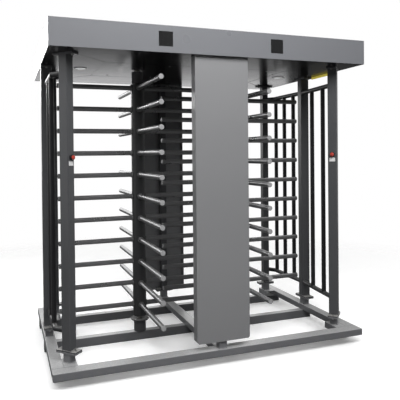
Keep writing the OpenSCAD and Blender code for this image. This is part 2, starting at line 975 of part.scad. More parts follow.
// One tube with its root collar, cut to the column's round
module arm() {
    difference() {
        rotate([0, 90, 0]) difference() {
            union() {
                cylinder(h = reach - cap_t, d = arm_d);
                cylinder(h = column_r + collar_t, d = arm_d + 2 * collar_lip);
            }
            translate([0, 0, column_r / 2]) cylinder(h = reach, d = arm_d - 2 * arm_wall);
        }
        translate([0, 0, -arm_d]) cylinder(h = 2 * arm_d, r = column_r + weld_gap);
    }
}

module arm_cap() {
    rotate([0, 90, 0]) {
        translate([0, 0, reach - cap_t]) cylinder(h = cap_t, d = arm_d);
        translate([0, 0, reach - cap_t - cap_plug])
            cylinder(h = cap_plug + cap_t / 2, d = arm_d - 2 * arm_wall - 2 * cap_play);
    }
}

module left_arms() {
    color("silver") at_arms(-1, left_tiers, z_left_tiers) arm();
}

module right_arms() {
    color("silver") at_arms(1, right_tiers, z_right_tiers) arm();
}

module left_arm_caps() {
    color("lightgray") at_arms(-1, left_tiers, z_left_tiers) arm_cap();
}

module right_arm_caps() {
    color("lightgray") at_arms(1, right_tiers, z_right_tiers) arm_cap();
}

// Foot shaft below the column and head shaft above the coupling's middle
module shafts(s) {
    z_foot = z_frame + housing_floor + shaft_end_gap;
    z_low = z_column_top + stub_shaft_l + shaft_end_gap;
    translate([s * rotor_x, 0, 0]) {
        translate([0, 0, z_foot]) cylinder(h = z_column + column_end_t - z_foot, r = shaft_r);
        translate([0, 0, z_low]) cylinder(h = z_disc + hub_h + head_shaft_over - z_low, r = shaft_r);
    }
}

module left_shafts() {
    color("silver") shafts(-1);
}

module right_shafts() {
    color("silver") shafts(1);
}

// Split clamp that joins the column's short shaft to the head shaft, with its bolts
module coupling(s) {
    translate([s * rotor_x, 0, coupling_z]) {
        difference() {
            union() {
                cylinder(h = coupling_h, r = coupling_r);
                translate([0, -coupling_lug_w / 2, 0])
                    cube([coupling_r + coupling_lug_out, coupling_lug_w, coupling_h]);
            }
            translate([0, 0, -cut]) cylinder(h = coupling_h + 2 * cut, r = shaft_r + thread_gap);
            translate([0, -coupling_split / 2, -cut])
                cube([coupling_r + coupling_lug_out + cut, coupling_split, coupling_h + 2 * cut]);
            for (z = [coupling_bolt_rise, coupling_h - coupling_bolt_rise])
                translate([coupling_bolt_out, -coupling_lug_w, z]) rotate([-90, 0, 0])
                    cylinder(h = 2 * coupling_lug_w, d = coupling_bolt_d + 2 * thread_gap);
        }
        for (z = [coupling_bolt_rise, coupling_h - coupling_bolt_rise])
            translate([coupling_bolt_out, -coupling_lug_w / 2, z]) rotate([-90, 0, 0]) {
                translate([0, 0, -coupling_bolt_head_h])
                    cylinder(h = coupling_bolt_head_h, r = coupling_bolt_head_r, $fn = 6);
                translate([0, 0, -coupling_bolt_head_h / 2])
                    cylinder(h = coupling_lug_w + coupling_bolt_head_h, d = coupling_bolt_d);
            }
    }
}

module left_coupling() {
    color([0.2, 0.2, 0.2]) coupling(-1);
}

module right_coupling() {
    color([0.2, 0.2, 0.2]) coupling(1);
}

// Round plate on a hub, with four rim blocks welded round it and a notch between each two
module index_disc(s) {
    plate_r = disc_r - notch_depth;
    translate([s * rotor_x, 0, z_disc]) {
        difference() {
            union() {
                cylinder(h = disc_t, r = plate_r);
                cylinder(h = hub_h, r = hub_r);
            }
            translate([0, 0, -cut]) cylinder(h = hub_h + 2 * cut, r = shaft_r + thread_gap);
        }
        difference() {
            cylinder(h = disc_t, r = disc_r);
            translate([0, 0, -cut]) cylinder(h = disc_t + 2 * cut, r = plate_r + weld_gap);
            for (turn = [0 : 90 : 270])
                rotate(notch_turn + turn) translate([0, -notch_w / 2, -cut])
                    cube([disc_r + cut, notch_w, disc_t + 2 * cut]);
        }
    }
}

module left_index_disc() {
    color([0.6, 0.6, 0.55]) index_disc(-1);
}

module right_index_disc() {
    color([0.6, 0.6, 0.55]) index_disc(1);
}

// Frame of a pawl: +X away from the rotor axis through the notch, +Y from its pivot to its nose.
// hand = 1 for the entry pawl, -1 for the exit pawl, its mirror image.
module at_pawl(s, hand) {
    translate([s * rotor_x, 0, 0]) {
        if (hand > 0)
            rotate(notch_turn) translate([pawl_line, -pawl_reach, 0]) children();
        else
            mirror([1, 0, 0]) rotate(notch_turn) translate([pawl_line, -pawl_reach, 0]) children();
    }
}

// Lever with the nose at one end and the plunger's slot at the other, pivot at the origin
module pawl_lever() {
    translate([0, 0, z_pawl]) difference() {
        union() {
            translate([-pawl_w / 2, -pawl_tail - pawl_end, 0])
                cube([pawl_w, pawl_reach + pawl_tail + pawl_end + nose_w / 2 + nose_shift, pawl_t]);
            translate([-pawl_w / 2 - nose_l, pawl_reach + nose_shift - nose_w / 2, 0])
                cube([nose_l + cut, nose_w, pawl_t]);
            cylinder(h = pawl_t, r = pivot_base_r);
        }
        translate([0, 0, -cut]) cylinder(h = pawl_t + 2 * cut, r = pivot_r + running_fit);
        translate([-slot_w / 2, -pawl_tail - slot_l / 2, -cut]) cube([slot_w, slot_l, pawl_t + 2 * cut]);
    }
}

module left_entry_pawl() {
    color([0.65, 0.6, 0.4]) at_pawl(-1, 1) pawl_lever();
}

module left_exit_pawl() {
    color([0.65, 0.6, 0.4]) at_pawl(-1, -1) pawl_lever();
}

module right_entry_pawl() {
    color([0.65, 0.6, 0.4]) at_pawl(1, 1) pawl_lever();
}

module right_exit_pawl() {
    color([0.65, 0.6, 0.4]) at_pawl(1, -1) pawl_lever();
}

// Pivot posts of the four pawls
module pawl_pins() {
    color("silver")
        for (s = [-1, 1], hand = [-1, 1]) at_pawl(s, hand) {
            translate([0, 0, z_mech]) cylinder(h = z_pawl - pawl_play - z_mech, r = pivot_base_r);
            translate([0, 0, z_mech])
                cylinder(h = z_pawl + pawl_t + pawl_play + pivot_washer_t - z_mech, r = pivot_r);
            translate([0, 0, z_pawl + pawl_t + pawl_play]) cylinder(h = pivot_washer_t, r = pivot_base_r);
        }
}

// Solenoid on the head plate, its bore in line with the pawl's tail
module solenoids() {
    color([0.15, 0.15, 0.16])
        for (s = [-1, 1], hand = [-1, 1]) at_pawl(s, hand) difference() {
            translate([solenoid_gap, -pawl_tail - solenoid_w / 2, z_mech])
                cube([solenoid_l, solenoid_w, z_pawl + pawl_t + solenoid_wall - z_mech]);
            translate([solenoid_gap - cut, -pawl_tail, z_pawl + pawl_t / 2])
                rotate([0, 90, 0])
                    cylinder(h = solenoid_l - solenoid_wall + cut, r = plunger_r + running_fit);
        }
}

// Plunger with a tongue over the pawl's tail and a pin down into its slot
module plunger() {
    z_axis = z_pawl + pawl_t / 2;
    z_tongue = z_pawl + pawl_t + pawl_play;
    step_x = pawl_w / 2 + tongue_gap + tongue_lap / 2;
    translate([0, -pawl_tail, 0]) {
        translate([step_x, 0, z_axis])
            rotate([0, 90, 0]) cylinder(h = solenoid_gap + plunger_in - step_x, r = plunger_r);
        translate([step_x, -tongue_w / 2, z_axis])
            cube([tongue_lap / 2, tongue_w, z_tongue + tongue_t - z_axis]);
        translate([-tongue_w / 2, -tongue_w / 2, z_tongue])
            cube([tongue_w / 2 + step_x + tongue_lap / 2, tongue_w, tongue_t]);
        translate([0, 0, z_pawl]) cylinder(h = z_tongue - z_pawl + tongue_t / 2, r = pin_r);
    }
}

module left_entry_plunger() {
    color("silver") at_pawl(-1, 1) plunger();
}

module left_exit_plunger() {
    color("silver") at_pawl(-1, -1) plunger();
}

module right_entry_plunger() {
    color("silver") at_pawl(1, 1) plunger();
}

module right_exit_plunger() {
    color("silver") at_pawl(1, -1) plunger();
}

// Closed sheet box for the electronics, on the centre rail
module control_box() {
    color([0.8, 0.8, 0.78])
        translate([-box_w / 2, -box_y - box_d / 2, z_head_plate]) difference() {
            cube([box_w, box_d, box_h]);
            translate([box_wall, box_wall, box_wall])
                cube([box_w - 2 * box_wall, box_d - 2 * box_wall, box_h - 2 * box_wall]);
        }
}

base_front_beam();
base_side_beams();
base_centre_beam();
floor_sleepers();
corner_pads();
post_stubs();
foot_bolts();
front_posts();
mid_posts();
rear_posts();
centre_posts();
front_panel();
rear_panel();
left_fence();
right_fence();
long_fascias();
end_fascias();
long_soffits();
end_soffits();
top_cover();
service_hatch();
hatch_screws();
head_rails();
head_gussets();
head_bolts();
lamp_bezels();
lamp_lenses();
indicator_windows();
edge_strip();
button_collars();
left_button();
right_button();
label_plates();
foot_bearings();
top_bearings();
head_plates();
solenoids();
pawl_pins();
control_box();
left_column();
left_arms();
left_arm_caps();
left_shafts();
left_coupling();
left_index_disc();
right_column();
right_arms();
right_arm_caps();
right_shafts();
right_coupling();
right_index_disc();
left_entry_pawl();
left_exit_pawl();
right_entry_pawl();
right_exit_pawl();
left_entry_plunger();
left_exit_plunger();
right_entry_plunger();
right_exit_plunger();
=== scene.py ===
"""Looks of the double full height turnstile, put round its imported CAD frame.

Metres, in the part's own frame: origin on the floor under the middle of the base, +X to the
right, +Y to the back, +Z up.
"""

import logging
import math
from collections.abc import Callable, Sequence
from dataclasses import dataclass
from enum import Enum
from functools import cache

import bmesh
import bpy
from mathutils import Matrix, Vector


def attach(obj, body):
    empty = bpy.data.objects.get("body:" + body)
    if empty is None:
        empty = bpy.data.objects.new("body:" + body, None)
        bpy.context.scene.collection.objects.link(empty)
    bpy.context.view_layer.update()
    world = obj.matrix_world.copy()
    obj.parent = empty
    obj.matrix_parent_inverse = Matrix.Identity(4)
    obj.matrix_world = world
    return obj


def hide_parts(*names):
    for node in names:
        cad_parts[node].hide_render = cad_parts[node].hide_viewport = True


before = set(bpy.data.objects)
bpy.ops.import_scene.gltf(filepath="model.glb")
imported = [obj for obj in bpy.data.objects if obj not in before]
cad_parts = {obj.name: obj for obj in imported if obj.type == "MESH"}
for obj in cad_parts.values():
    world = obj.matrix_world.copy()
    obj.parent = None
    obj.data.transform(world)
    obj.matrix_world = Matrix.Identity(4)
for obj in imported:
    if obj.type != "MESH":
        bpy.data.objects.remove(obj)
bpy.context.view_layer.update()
log = logging.getLogger("turnstile")

Colour = tuple[float, float, float]
Outline = Sequence[tuple[float, float]]
Socket = bpy.types.NodeSocket
Tree = bpy.types.NodeTree
UPSIDE_DOWN = Matrix.Rotation(math.pi, 4, "X")
BEAD_STEP = 0.0045


class Side(Enum):
    """The two lanes, each with the sign of its X."""

    LEFT = -1
    RIGHT = 1

    @property
    def word(self) -> str:
        """Left or right."""
        return self.name.lower()


class Body(Enum):
    """CAD bodies that the pieces ride on."""

    FRAME = "frame"
    LEFT_ROTOR = "left_rotor"
    RIGHT_ROTOR = "right_rotor"
    LEFT_BUTTON = "left_stop_button"
    RIGHT_BUTTON = "right_stop_button"


class Slot(Enum):
    """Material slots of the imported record."""

    BASE = "base_paint"
    POST = "post_paint"
    PANEL = "panel_paint"
    FENCE = "fence_paint"
    FASCIA = "fascia_paint"
    SOFFIT = "soffit_steel"
    COVER = "cover_sheet"
    BOLT = "zinc_bolts"
    HEAD_FRAME = "head_frame_paint"
    MECHANISM = "mech_steel"
    BEARING = "bearing_iron"
    SOLENOID = "solenoid_body"
    BOX = "box_paint"
    COLUMN = "column_paint"
    ARM = "arm_metal"
    CAP = "cap_metal"
    LAMP_RING = "lamp_metal"
    LAMP_GLASS = "lamp_glass"
    WINDOW = "window_plastic"
    STRIP = "strip_plastic"
    COLLAR = "collar_plastic"
    BUTTON = "button_red"
    LABEL = "label_plastic"


class Effect(Enum):
    """Surface effects that several finishes share, each a shader node group."""

    DRIFT = "tone_drift"
    PEEL = "orange_peel"
    RUBBED_EDGE = "rubbed_edge"
    DUST = "dust_and_top_light"
    BRUSHING = "brushed_lines"
    SCUFFS = "scuff_marks"


class Wiring:
    """Places and joins shader nodes in one node tree."""

    def __init__(self, tree: Tree) -> None:
        """Keeps the tree that the nodes go into."""
        self.tree = tree

    def place(self, kind: str, **settings: object) -> bpy.types.Node:
        """Adds a node.

        Args:
            kind: Blender's name of the node type.
            settings: Properties to set on the node.

        Returns:
            The new node.
        """
        node = self.tree.nodes.new(kind)
        for key, value in settings.items():
            setattr(node, key, value)
        return node

    def feed(self, socket: Socket, value: object) -> None:
        """Joins a socket to another one, or sets its own value.

        Args:
            socket: The input to fill.
            value: An output socket, a number or a colour.
        """
        if isinstance(value, Socket):
            self.tree.links.new(value, socket)
        elif isinstance(value, tuple) and len(value) == 3 and socket.type == "RGBA":
            socket.default_value = (*value, 1.0)
        else:
            socket.default_value = value

    def join(
        self, kind: str, inputs: dict[int | str, object], output: int | str = 0, **settings: object
    ) -> Socket:
        """Places a node and fills its inputs.

        Args:
            kind: Blender's name of the node type.
            inputs: Value or socket for each input, by its number or name.
            output: Number or name of the output that is wanted.
            settings: Properties to set on the node.

        Returns:
            That output.
        """
        node = self.place(kind, **settings)
        for key, value in inputs.items():
            self.feed(node.inputs[key], value)
        return node.outputs[output]

    def maths(
        self, operation: str, first: object, second: object = 0.0, clamp: bool = False, third: object = 0.0
    ) -> Socket:
        """Adds one sum of up to three values or sockets; a clamped one stays between 0 and 1."""
        inputs = {0: first, 1: second, 2: third}
        return self.join("ShaderNodeMath", inputs, operation=operation, use_clamp=clamp)

    def spread(
        self, value: object, low: float, high: float, new_low: float = 0.0, new_high: float = 1.0
    ) -> Socket:
        """Stretches one range of values on to another, with its ends clamped."""
        inputs = dict(enumerate((value, low, high, new_low, new_high)))
        return self.join("ShaderNodeMapRange", inputs)

    def mix(self, amount: object, first: object, second: object) -> Socket:
        """Mixes two colours; the amount is the second one's share."""
        return self.join("ShaderNodeMix", {0: amount, 6: first, 7: second}, 2, data_type="RGBA")

    def noise(self, place: object, scale: object, detail: float, roughness: float) -> Socket:
        """Adds a noise pattern from 0 to 1; the roughness is the strength of its finer layers."""
        inputs = {"Vector": place, "Scale": scale, "Detail": detail, "Roughness": roughness}
        return self.join("ShaderNodeTexNoise", inputs, "Fac")


class Recipe(Wiring):
    """Wiring of one shared effect, a node group with named inputs and outputs."""

    KINDS = {"Place": "NodeSocketVector", "Stretch": "NodeSocketVector", "Colour": "NodeSocketColor"}

    def __init__(self, effect: Effect, takes: str, gives: str) -> None:
        """Makes the empty group with its sockets, which are numbers unless KINDS says otherwise.

        Args:
            effect: Effect that names the group.
            takes: Names of its inputs, with spaces between them.
            gives: Names of its outputs, with spaces between them.
        """
        super().__init__(bpy.data.node_groups.new(effect.value, "ShaderNodeTree"))
        for names, way in ((takes, "INPUT"), (gives, "OUTPUT")):
            for name in names.split():
                kind = self.KINDS.get(name, "NodeSocketFloat")
                self.tree.interface.new_socket(name=name, in_out=way, socket_type=kind)
        self.given = self.place("NodeGroupInput").outputs
        self.results = self.place("NodeGroupOutput").inputs

    def give(self, **values: Socket) -> Tree:
        """Joins the results to the group's outputs and gives the group's tree."""
        for name, value in values.items():
            self.feed(self.results[name], value)
        return self.tree


class EffectBench:
    """Builds each shared effect once and hands it out."""

    @cache
    def group(self, effect: Effect) -> Tree:
        """Gives the node group of an effect, built on first use."""
        return getattr(self, "make_" + effect.name.lower())()

    def make_drift(self) -> Tree:
        """Builds the slow change of tone over a large surface."""
        group = Recipe(Effect.DRIFT, "Place Colour Amount Scale", "Colour Shade")
        broad = group.noise(group.given["Place"], group.given["Scale"], 2.0, 0.55)
        centred = group.maths("SUBTRACT", broad, 0.5)
        gain = group.maths("MULTIPLY_ADD", centred, group.given["Amount"], third=1.0)
        inputs = {0: group.given["Colour"], "Scale": gain}
        return group.give(Colour=group.join("ShaderNodeVectorMath", inputs, operation="SCALE"), Shade=broad)

    def make_peel(self) -> Tree:
        """Builds the fine waviness of sprayed and baked paint."""
        group = Recipe(Effect.PEEL, "Place Scale", "Height Fleck")
        wave = group.noise(group.given["Place"], group.given["Scale"], 2.0, 0.45)
        finer = group.maths("MULTIPLY", group.given["Scale"], 4.3)
        fleck = group.noise(group.given["Place"], finer, 1.0, 0.5)
        return group.give(Height=wave, Fleck=group.spread(fleck, 0.62, 0.74))

    def make_rubbed_edge(self) -> Tree:
        """Builds the mask of outer edges where the finish is rubbed thin; on the brushed sheets it marks where
        painted shade darkens the seams.
        """
        group = Recipe(Effect.RUBBED_EDGE, "Place Radius Patches Cover", "Mask")
        rounding = group.join("ShaderNodeBevel", {"Radius": group.given["Radius"]}, samples=4)
        surface = group.join("ShaderNodeNewGeometry", {}, "Normal")
        turn = group.join("ShaderNodeVectorMath", {0: rounding, 1: surface}, "Value", operation="DOT_PRODUCT")
        bend = group.spread(turn, 0.995, 0.86)
        patches = group.noise(group.given["Place"], group.given["Patches"], 4.0, 0.6)
        broken = group.maths("MAXIMUM", group.spread(patches, 0.42, 0.6), group.given["Cover"])
        return group.give(Mask=group.maths("MULTIPLY", bend, broken, True))

    def make_dust(self) -> Tree:
        """Builds the mask of faces that look up, for settled dust together with painted top light."""
        group = Recipe(Effect.DUST, "Place Scale", "Mask")
        surface = group.join("ShaderNodeNewGeometry", {}, "Normal")
        upward = group.spread(group.join("ShaderNodeSeparateXYZ", {0: surface}, "Z"), 0.55, 0.95)
        cloud = group.noise(group.given["Place"], group.given["Scale"], 5.0, 0.65)
        return group.give(Mask=group.maths("MULTIPLY", upward, group.spread(cloud, 0.2, 0.75, 0.35, 1.0), True))

    def make_brushing(self) -> Tree:
        """Builds fine lines in one direction, as brushing or turning leaves them."""
        group = Recipe(Effect.BRUSHING, "Place Stretch", "Height Shade")
        inputs = {0: group.given["Place"], 1: group.given["Stretch"]}
        stretched = group.join("ShaderNodeVectorMath", inputs, operation="MULTIPLY")
        lines = group.noise(stretched, 1.0, 4.0, 0.7)
        coarse = group.maths("MULTIPLY", group.noise(stretched, 0.17, 2.0, 0.5), 0.5)
        return group.give(Height=lines, Shade=group.maths("MULTIPLY_ADD", lines, 0.5, third=coarse))

    def make_scuffs(self) -> Tree:
        """Builds the mask of small nicks and drag marks."""
        group = Recipe(Effect.SCUFFS, "Place Scale", "Mask")
        inputs = {0: group.given["Place"], 1: (1.0, 3.1, 3.1)}
        drag = group.join("ShaderNodeVectorMath", inputs, operation="MULTIPLY")
        marks = group.noise(drag, group.given["Scale"], 5.0, 0.72)
        finer = group.maths("MULTIPLY", group.given["Scale"], 6.0)
        nicks = group.noise(group.given["Place"], finer, 2.0, 0.6)
        both = group.maths("ADD", group.spread(marks, 0.57, 0.68), group.spread(nicks, 0.64, 0.7), True)
        return group.give(Mask=both)


BENCH = EffectBench()


class Sheet(Wiring):
    """Wiring of one material round a Principled shader."""

    def __init__(self, name: str) -> None:
        """Makes the material and finds its shader."""
        self.material = bpy.data.materials.new(name)
        self.material.use_nodes = True
        super().__init__(self.material.node_tree)
        self.shader = self.tree.nodes["Principled BSDF"]
        spots = self.place("ShaderNodeTexCoord")
        self.over_object = spots.outputs["Object"]
        self.over_sheet = spots.outputs["UV"]

    def put(self, **values: object) -> None:
        """Sets or feeds the shader's own sockets.

        Args:
            values: Value or socket for each, with underscores for the spaces in its name.
        """
        for name, value in values.items():
            self.feed(self.shader.inputs[name.replace("_", " ").title().replace("Ior", "IOR")], value)

    def effect(self, effect: Effect, **values: object) -> dict[str, Socket]:
        """Places a shared effect.

        Args:
            effect: The effect to place.
            values: Value or socket of each of its inputs.

        Returns:
            Its outputs by name.
        """
        node = self.place("ShaderNodeGroup")
        node.node_tree = BENCH.group(effect)
        values.setdefault("Place", self.over_object)
        for name, value in values.items():
            self.feed(node.inputs[name], value)
        return {socket.name: socket for socket in node.outputs}

    def lay(self, under: object, mask: Socket, share: float, colour: Colour) -> Socket:
        """Lays a colour over another one, as much as a mask and a share say."""
        return self.mix(self.maths("MULTIPLY", mask, share), under, colour)

    def vary(self, pattern: Socket, middle: float, less: float, more: float) -> Socket:
        """Varies a value with a pattern, by less where it is dark and by more where it is bright."""
        return self.spread(pattern, 0.3, 0.7, middle - less, middle + more)

    def bump(self, height: object, strength: float, depth: float) -> None:
        """Feeds a height to the shader's normal, with its strength and its depth in metres."""
        inputs = {"Height": height, "Strength": strength, "Distance": depth}
        self.put(normal=self.join("ShaderNodeBump", inputs))


@dataclass(frozen=True)
class Finish:
    """Finish of a surface, which each kind wires in its own way."""

    colour: Colour

    def make(self, name: str) -> bpy.types.Material:
        """Builds the material.

        Args:
            name: Name of the material.

        Returns:
            The finished material.
        """
        sheet = Sheet(name)
        self.wire(sheet)
        return sheet.material

    def wire(self, sheet: Sheet) -> None:
        """Wires the finish on its sheet, which each kind does in its own way."""
        raise NotImplementedError


@dataclass(frozen=True)
class PowderCoat(Finish):
    """Sprayed and baked powder paint on steel, rubbed at its edges, and lighter where it looks up with dust and
    painted top light.
    """

    roughness: float = 0.45
    peel: float = 0.25
    rub: float = 0.35
    dust: float = 0.15
    scuff: float = 0.0
    drift: float = 0.16
    grain: float = 26.0
    gloss: float = 0.5
    worn: Colour = (0.42, 0.43, 0.44)
    dust_colour: Colour = (0.46, 0.45, 0.43)

    def wire(self, sheet: Sheet) -> None:
        """Wires the paint with its wear, its dust and its painted top light.

        Args:
            sheet: Sheet of the material.
        """
        tone = sheet.effect(Effect.DRIFT, Colour=self.colour, Amount=self.drift, Scale=2.3)
        peel = sheet.effect(Effect.PEEL, Scale=420.0)
        edge = sheet.effect(Effect.RUBBED_EDGE, Radius=0.0016, Patches=38.0)
        dust = sheet.effect(Effect.DUST, Scale=self.grain)
        flecked = sheet.lay(tone["Colour"], peel["Fleck"], 0.10, self.worn)
        rubbed = sheet.lay(flecked, edge["Mask"], self.rub, self.worn)
        # Lighter where the faces look up: settled dust together with painted top light.
        paint = sheet.lay(rubbed, dust["Mask"], self.dust, self.dust_colour)
        rough = sheet.vary(tone["Shade"], self.roughness, 0.05, 0.05)
        if self.scuff:
            marks = sheet.effect(Effect.SCUFFS, Scale=self.grain * 0.6)
            amount = sheet.maths("MULTIPLY", sheet.maths("MULTIPLY", marks["Mask"], dust["Mask"]), self.scuff)
            paint = sheet.mix(amount, paint, self.worn)
            rough = sheet.maths("ADD", rough, sheet.maths("MULTIPLY", amount, 0.2))
        sheet.put(base_color=paint, roughness=rough, specular_ior_level=self.gloss)
        sheet.bump(peel["Height"], self.peel, 0.00025)


@dataclass(frozen=True)
class BrushedSteel(Finish):
    """Stainless sheet brushed along the surface's first direction, so that reflections run across it."""

    roughness: float = 0.3
    stretch: float = 0.5
    lines: Colour = (3.0, 700.0, 200.0)
    drift: float = 0.08
    glance: Colour = (0.6, 0.6, 0.605)
    grime: float = 0.9
    grime_colour: Colour = (0.02, 0.02, 0.021)

    def wire(self, sheet: Sheet) -> None:
        """Wires the brushed metal with painted shade along its seams and edges.

        Args:
            sheet: Sheet of the material.
        """
        tone = sheet.effect(Effect.DRIFT, Colour=self.colour, Amount=self.drift, Scale=1.7)
        brush = sheet.effect(Effect.BRUSHING, Place=sheet.over_sheet, Stretch=self.lines)
        # Painted shade: a dark band along the sheets' edges darkens the seams between them and rings the lamp
        # holes.
        seam = sheet.effect(Effect.RUBBED_EDGE, Radius=0.009, Patches=4.0, Cover=1.0)
        shaded = sheet.lay(tone["Colour"], brush["Shade"], 0.1, (0.95, 0.95, 0.96))
        sheet.put(
            base_color=sheet.lay(shaded, seam["Mask"], self.grime, self.grime_colour),
            roughness=sheet.vary(tone["Shade"], self.roughness, 0.02, 0.03),
            tangent=sheet.join("ShaderNodeTangent", {}, direction_type="UV_MAP"),
            metallic=1.0,
            anisotropic=self.stretch,
            specular_tint=self.glance,
        )
        sheet.bump(brush["Height"], 0.03, 0.00005)


@dataclass(frozen=True)
class SatinTube(Finish):
    """Drawn metal tube or turned metal, brushed round or along, with handling marks."""

    metallic: float = 0.9
    roughness: float = 0.34
    lines: Colour = (900.0, 6.0, 1.0)
    marks: float = 0.25
    marks_colour: Colour = (0.12, 0.12, 0.125)
    rub: float = 0.4
    grooves: float = 0.1
    streaks: float = 0.2

    def wire(self, sheet: Sheet) -> None:
        """Wires the metal with its streaks, marks and bright edges.

        Args:
            sheet: Sheet of the material.
        """
        tone = sheet.effect(Effect.DRIFT, Colour=self.colour, Amount=0.12, Scale=6.0)
        brush = sheet.effect(Effect.BRUSHING, Place=sheet.over_sheet, Stretch=self.lines)
        handled = sheet.effect(Effect.SCUFFS, Scale=30.0)
        edge = sheet.effect(Effect.RUBBED_EDGE, Radius=0.0012, Patches=60.0)
        lined = sheet.lay(tone["Colour"], brush["Shade"], self.streaks, (0.9, 0.9, 0.91))
        marked = sheet.lay(lined, handled["Mask"], self.marks, self.marks_colour)
        bright = sheet.lay(marked, edge["Mask"], self.rub, (0.85, 0.85, 0.86))
        rough = sheet.vary(tone["Shade"], self.roughness, 0.05, 0.06)
        rough = sheet.maths("ADD", rough, sheet.maths("MULTIPLY", handled["Mask"], self.marks * 0.5))
        sheet.put(base_color=bright, roughness=rough, metallic=self.metallic)
        sheet.bump(brush["Height"], self.grooves, 0.00006)


@dataclass(frozen=True)
class Casting(Finish):
    """Painted cast iron with the pebbled skin of its sand mould."""

    roughness: float = 0.55

    def wire(self, sheet: Sheet) -> None:
        """Wires the pebbled paint.

        Args:
            sheet: Sheet of the material.
        """
        tone = sheet.effect(Effect.DRIFT, Colour=self.colour, Amount=0.3, Scale=11.0)
        pebbles = sheet.effect(Effect.PEEL, Scale=260.0)
        edge = sheet.effect(Effect.RUBBED_EDGE, Radius=0.002, Patches=45.0)
        dust = sheet.effect(Effect.DUST, Scale=40.0)
        rubbed = sheet.lay(tone["Colour"], edge["Mask"], 0.45, (0.35, 0.35, 0.36))
        # Lighter where the faces look up: settled dust together with painted top light.
        top_dusted_and_lit = sheet.lay(rubbed, dust["Mask"], 0.3, (0.4, 0.39, 0.37))
        sheet.put(base_color=top_dusted_and_lit, roughness=sheet.vary(pebbles["Height"], self.roughness, 0.08, 0.08))
        sheet.bump(pebbles["Height"], 0.5, 0.0006)


@dataclass(frozen=True)
class Moulding(Finish):
    """Moulded plastic with a fine skin, optionally glossy."""

    roughness: float = 0.4
    coat: float = 0.0
    skin: float = 0.15
    glow: float = 0.0
    clear: float = 0.0

    def wire(self, sheet: Sheet) -> None:
        """Wires the plastic with its skin, coat and glow.

        Args:
            sheet: Sheet of the material.
        """
        tone = sheet.effect(Effect.DRIFT, Colour=self.colour, Amount=0.12, Scale=30.0)
        skin = sheet.effect(Effect.PEEL, Scale=900.0)
        dust = sheet.effect(Effect.DUST, Scale=60.0)
        # Lighter where the faces look up: settled dust together with painted top light.
        top_dusted_and_lit = sheet.lay(tone["Colour"], dust["Mask"], 0.12, (0.5, 0.49, 0.47))
        sheet.put(base_color=top_dusted_and_lit, roughness=sheet.vary(tone["Shade"], self.roughness, 0.04, 0.05))
        sheet.bump(skin["Height"], self.skin, 0.0001)
        sheet.put(coat_weight=self.coat, coat_roughness=0.08, transmission_weight=self.clear)
        if self.glow:
            sheet.put(emission_color=tone["Colour"], emission_strength=self.glow)


FINISHES: dict[Slot, Finish] = {
    # The tops of the base and the posts are lightened by the up-facing mask: settled dust and scuffs together
    # with painted top light.
    Slot.BASE: PowderCoat(
        (0.11, 0.112, 0.118), roughness=0.34, rub=0.4, dust=0.8, scuff=0.35, worn=(0.72, 0.72, 0.73),
        dust_colour=(0.45, 0.45, 0.45), grain=85.0, gloss=0.9,
    ),
    Slot.POST: PowderCoat((0.052, 0.053, 0.056), roughness=0.36, rub=0.25, dust=0.7, scuff=0.3, grain=70.0),
    Slot.PANEL: PowderCoat((0.16, 0.161, 0.165), roughness=0.36, rub=0.15, drift=0.06, peel=0.15),
    Slot.FENCE: PowderCoat((0.01, 0.01, 0.011), roughness=0.38, rub=0.2),
    Slot.FASCIA: PowderCoat((0.12, 0.123, 0.132), roughness=0.3, rub=0.15, drift=0.05, peel=0.12),
    Slot.SOFFIT: BrushedSteel((0.16, 0.16, 0.162), roughness=0.2, stretch=0.35),
    Slot.COVER: PowderCoat((0.3, 0.305, 0.31), roughness=0.5, rub=0.2, dust=0.5, scuff=0.15),
    Slot.BOLT: SatinTube((0.5, 0.5, 0.49), metallic=1.0, roughness=0.38, marks=0.3),
    Slot.HEAD_FRAME: PowderCoat((0.05, 0.05, 0.052), roughness=0.55, rub=0.25, dust=0.3),
    Slot.MECHANISM: SatinTube((0.5, 0.49, 0.45), metallic=1.0, roughness=0.3, lines=(60.0, 700.0, 1.0)),
    Slot.BEARING: Casting((0.045, 0.045, 0.048)),
    Slot.SOLENOID: Moulding((0.02, 0.02, 0.022), roughness=0.5),
    Slot.BOX: PowderCoat((0.45, 0.45, 0.43), roughness=0.45, rub=0.2, dust=0.3),
    Slot.COLUMN: PowderCoat((0.022, 0.0223, 0.0232), roughness=0.36, rub=0.25),
    Slot.ARM: SatinTube(
        (0.22, 0.22, 0.224), metallic=0.75, roughness=0.3, marks=0.04, rub=0.0, grooves=0.0, streaks=0.05,
    ),
    Slot.CAP: SatinTube((0.15, 0.15, 0.152), metallic=0.0, roughness=0.5, lines=(2.0, 1500.0, 1.0), marks=0.12),
    Slot.LAMP_RING: SatinTube(
        (0.22, 0.22, 0.22), metallic=1.0, roughness=0.3, lines=(2.0, 1200.0, 1.0), marks=0.1,
    ),
    Slot.LAMP_GLASS: Moulding((0.85, 0.86, 0.86), roughness=0.3, glow=0.24, clear=0.2),
    Slot.WINDOW: Moulding((0.012, 0.012, 0.0125), roughness=0.12, coat=0.6, skin=0.03),
    # Painted light: the yellow strip glows though it is no lamp, to brighten it in the canopy's shade.
    Slot.STRIP: Moulding((0.95, 0.78, 0.12), roughness=0.4, glow=0.3),
    Slot.COLLAR: Moulding((0.01, 0.01, 0.011), roughness=0.42, skin=0.25),
    Slot.BUTTON: Moulding((0.32, 0.035, 0.025), roughness=0.28, coat=0.4, skin=0.08),
    Slot.LABEL: Moulding((0.5, 0.5, 0.5), roughness=0.4, skin=0.08),
}


@cache
def stock(slot: Slot) -> bpy.types.Material:
    """Gives the material of a slot, made on first use."""
    return FINISHES[slot].make(slot.value + "_finish")


# Near-black coat on the faces that look into the middle panels' hollows, darker than the panels' outer paint.
HOLLOW_COAT = PowderCoat((0.006, 0.0061, 0.0066), roughness=0.6, rub=0.1, dust=0.0, worn=(0.04, 0.04, 0.042))


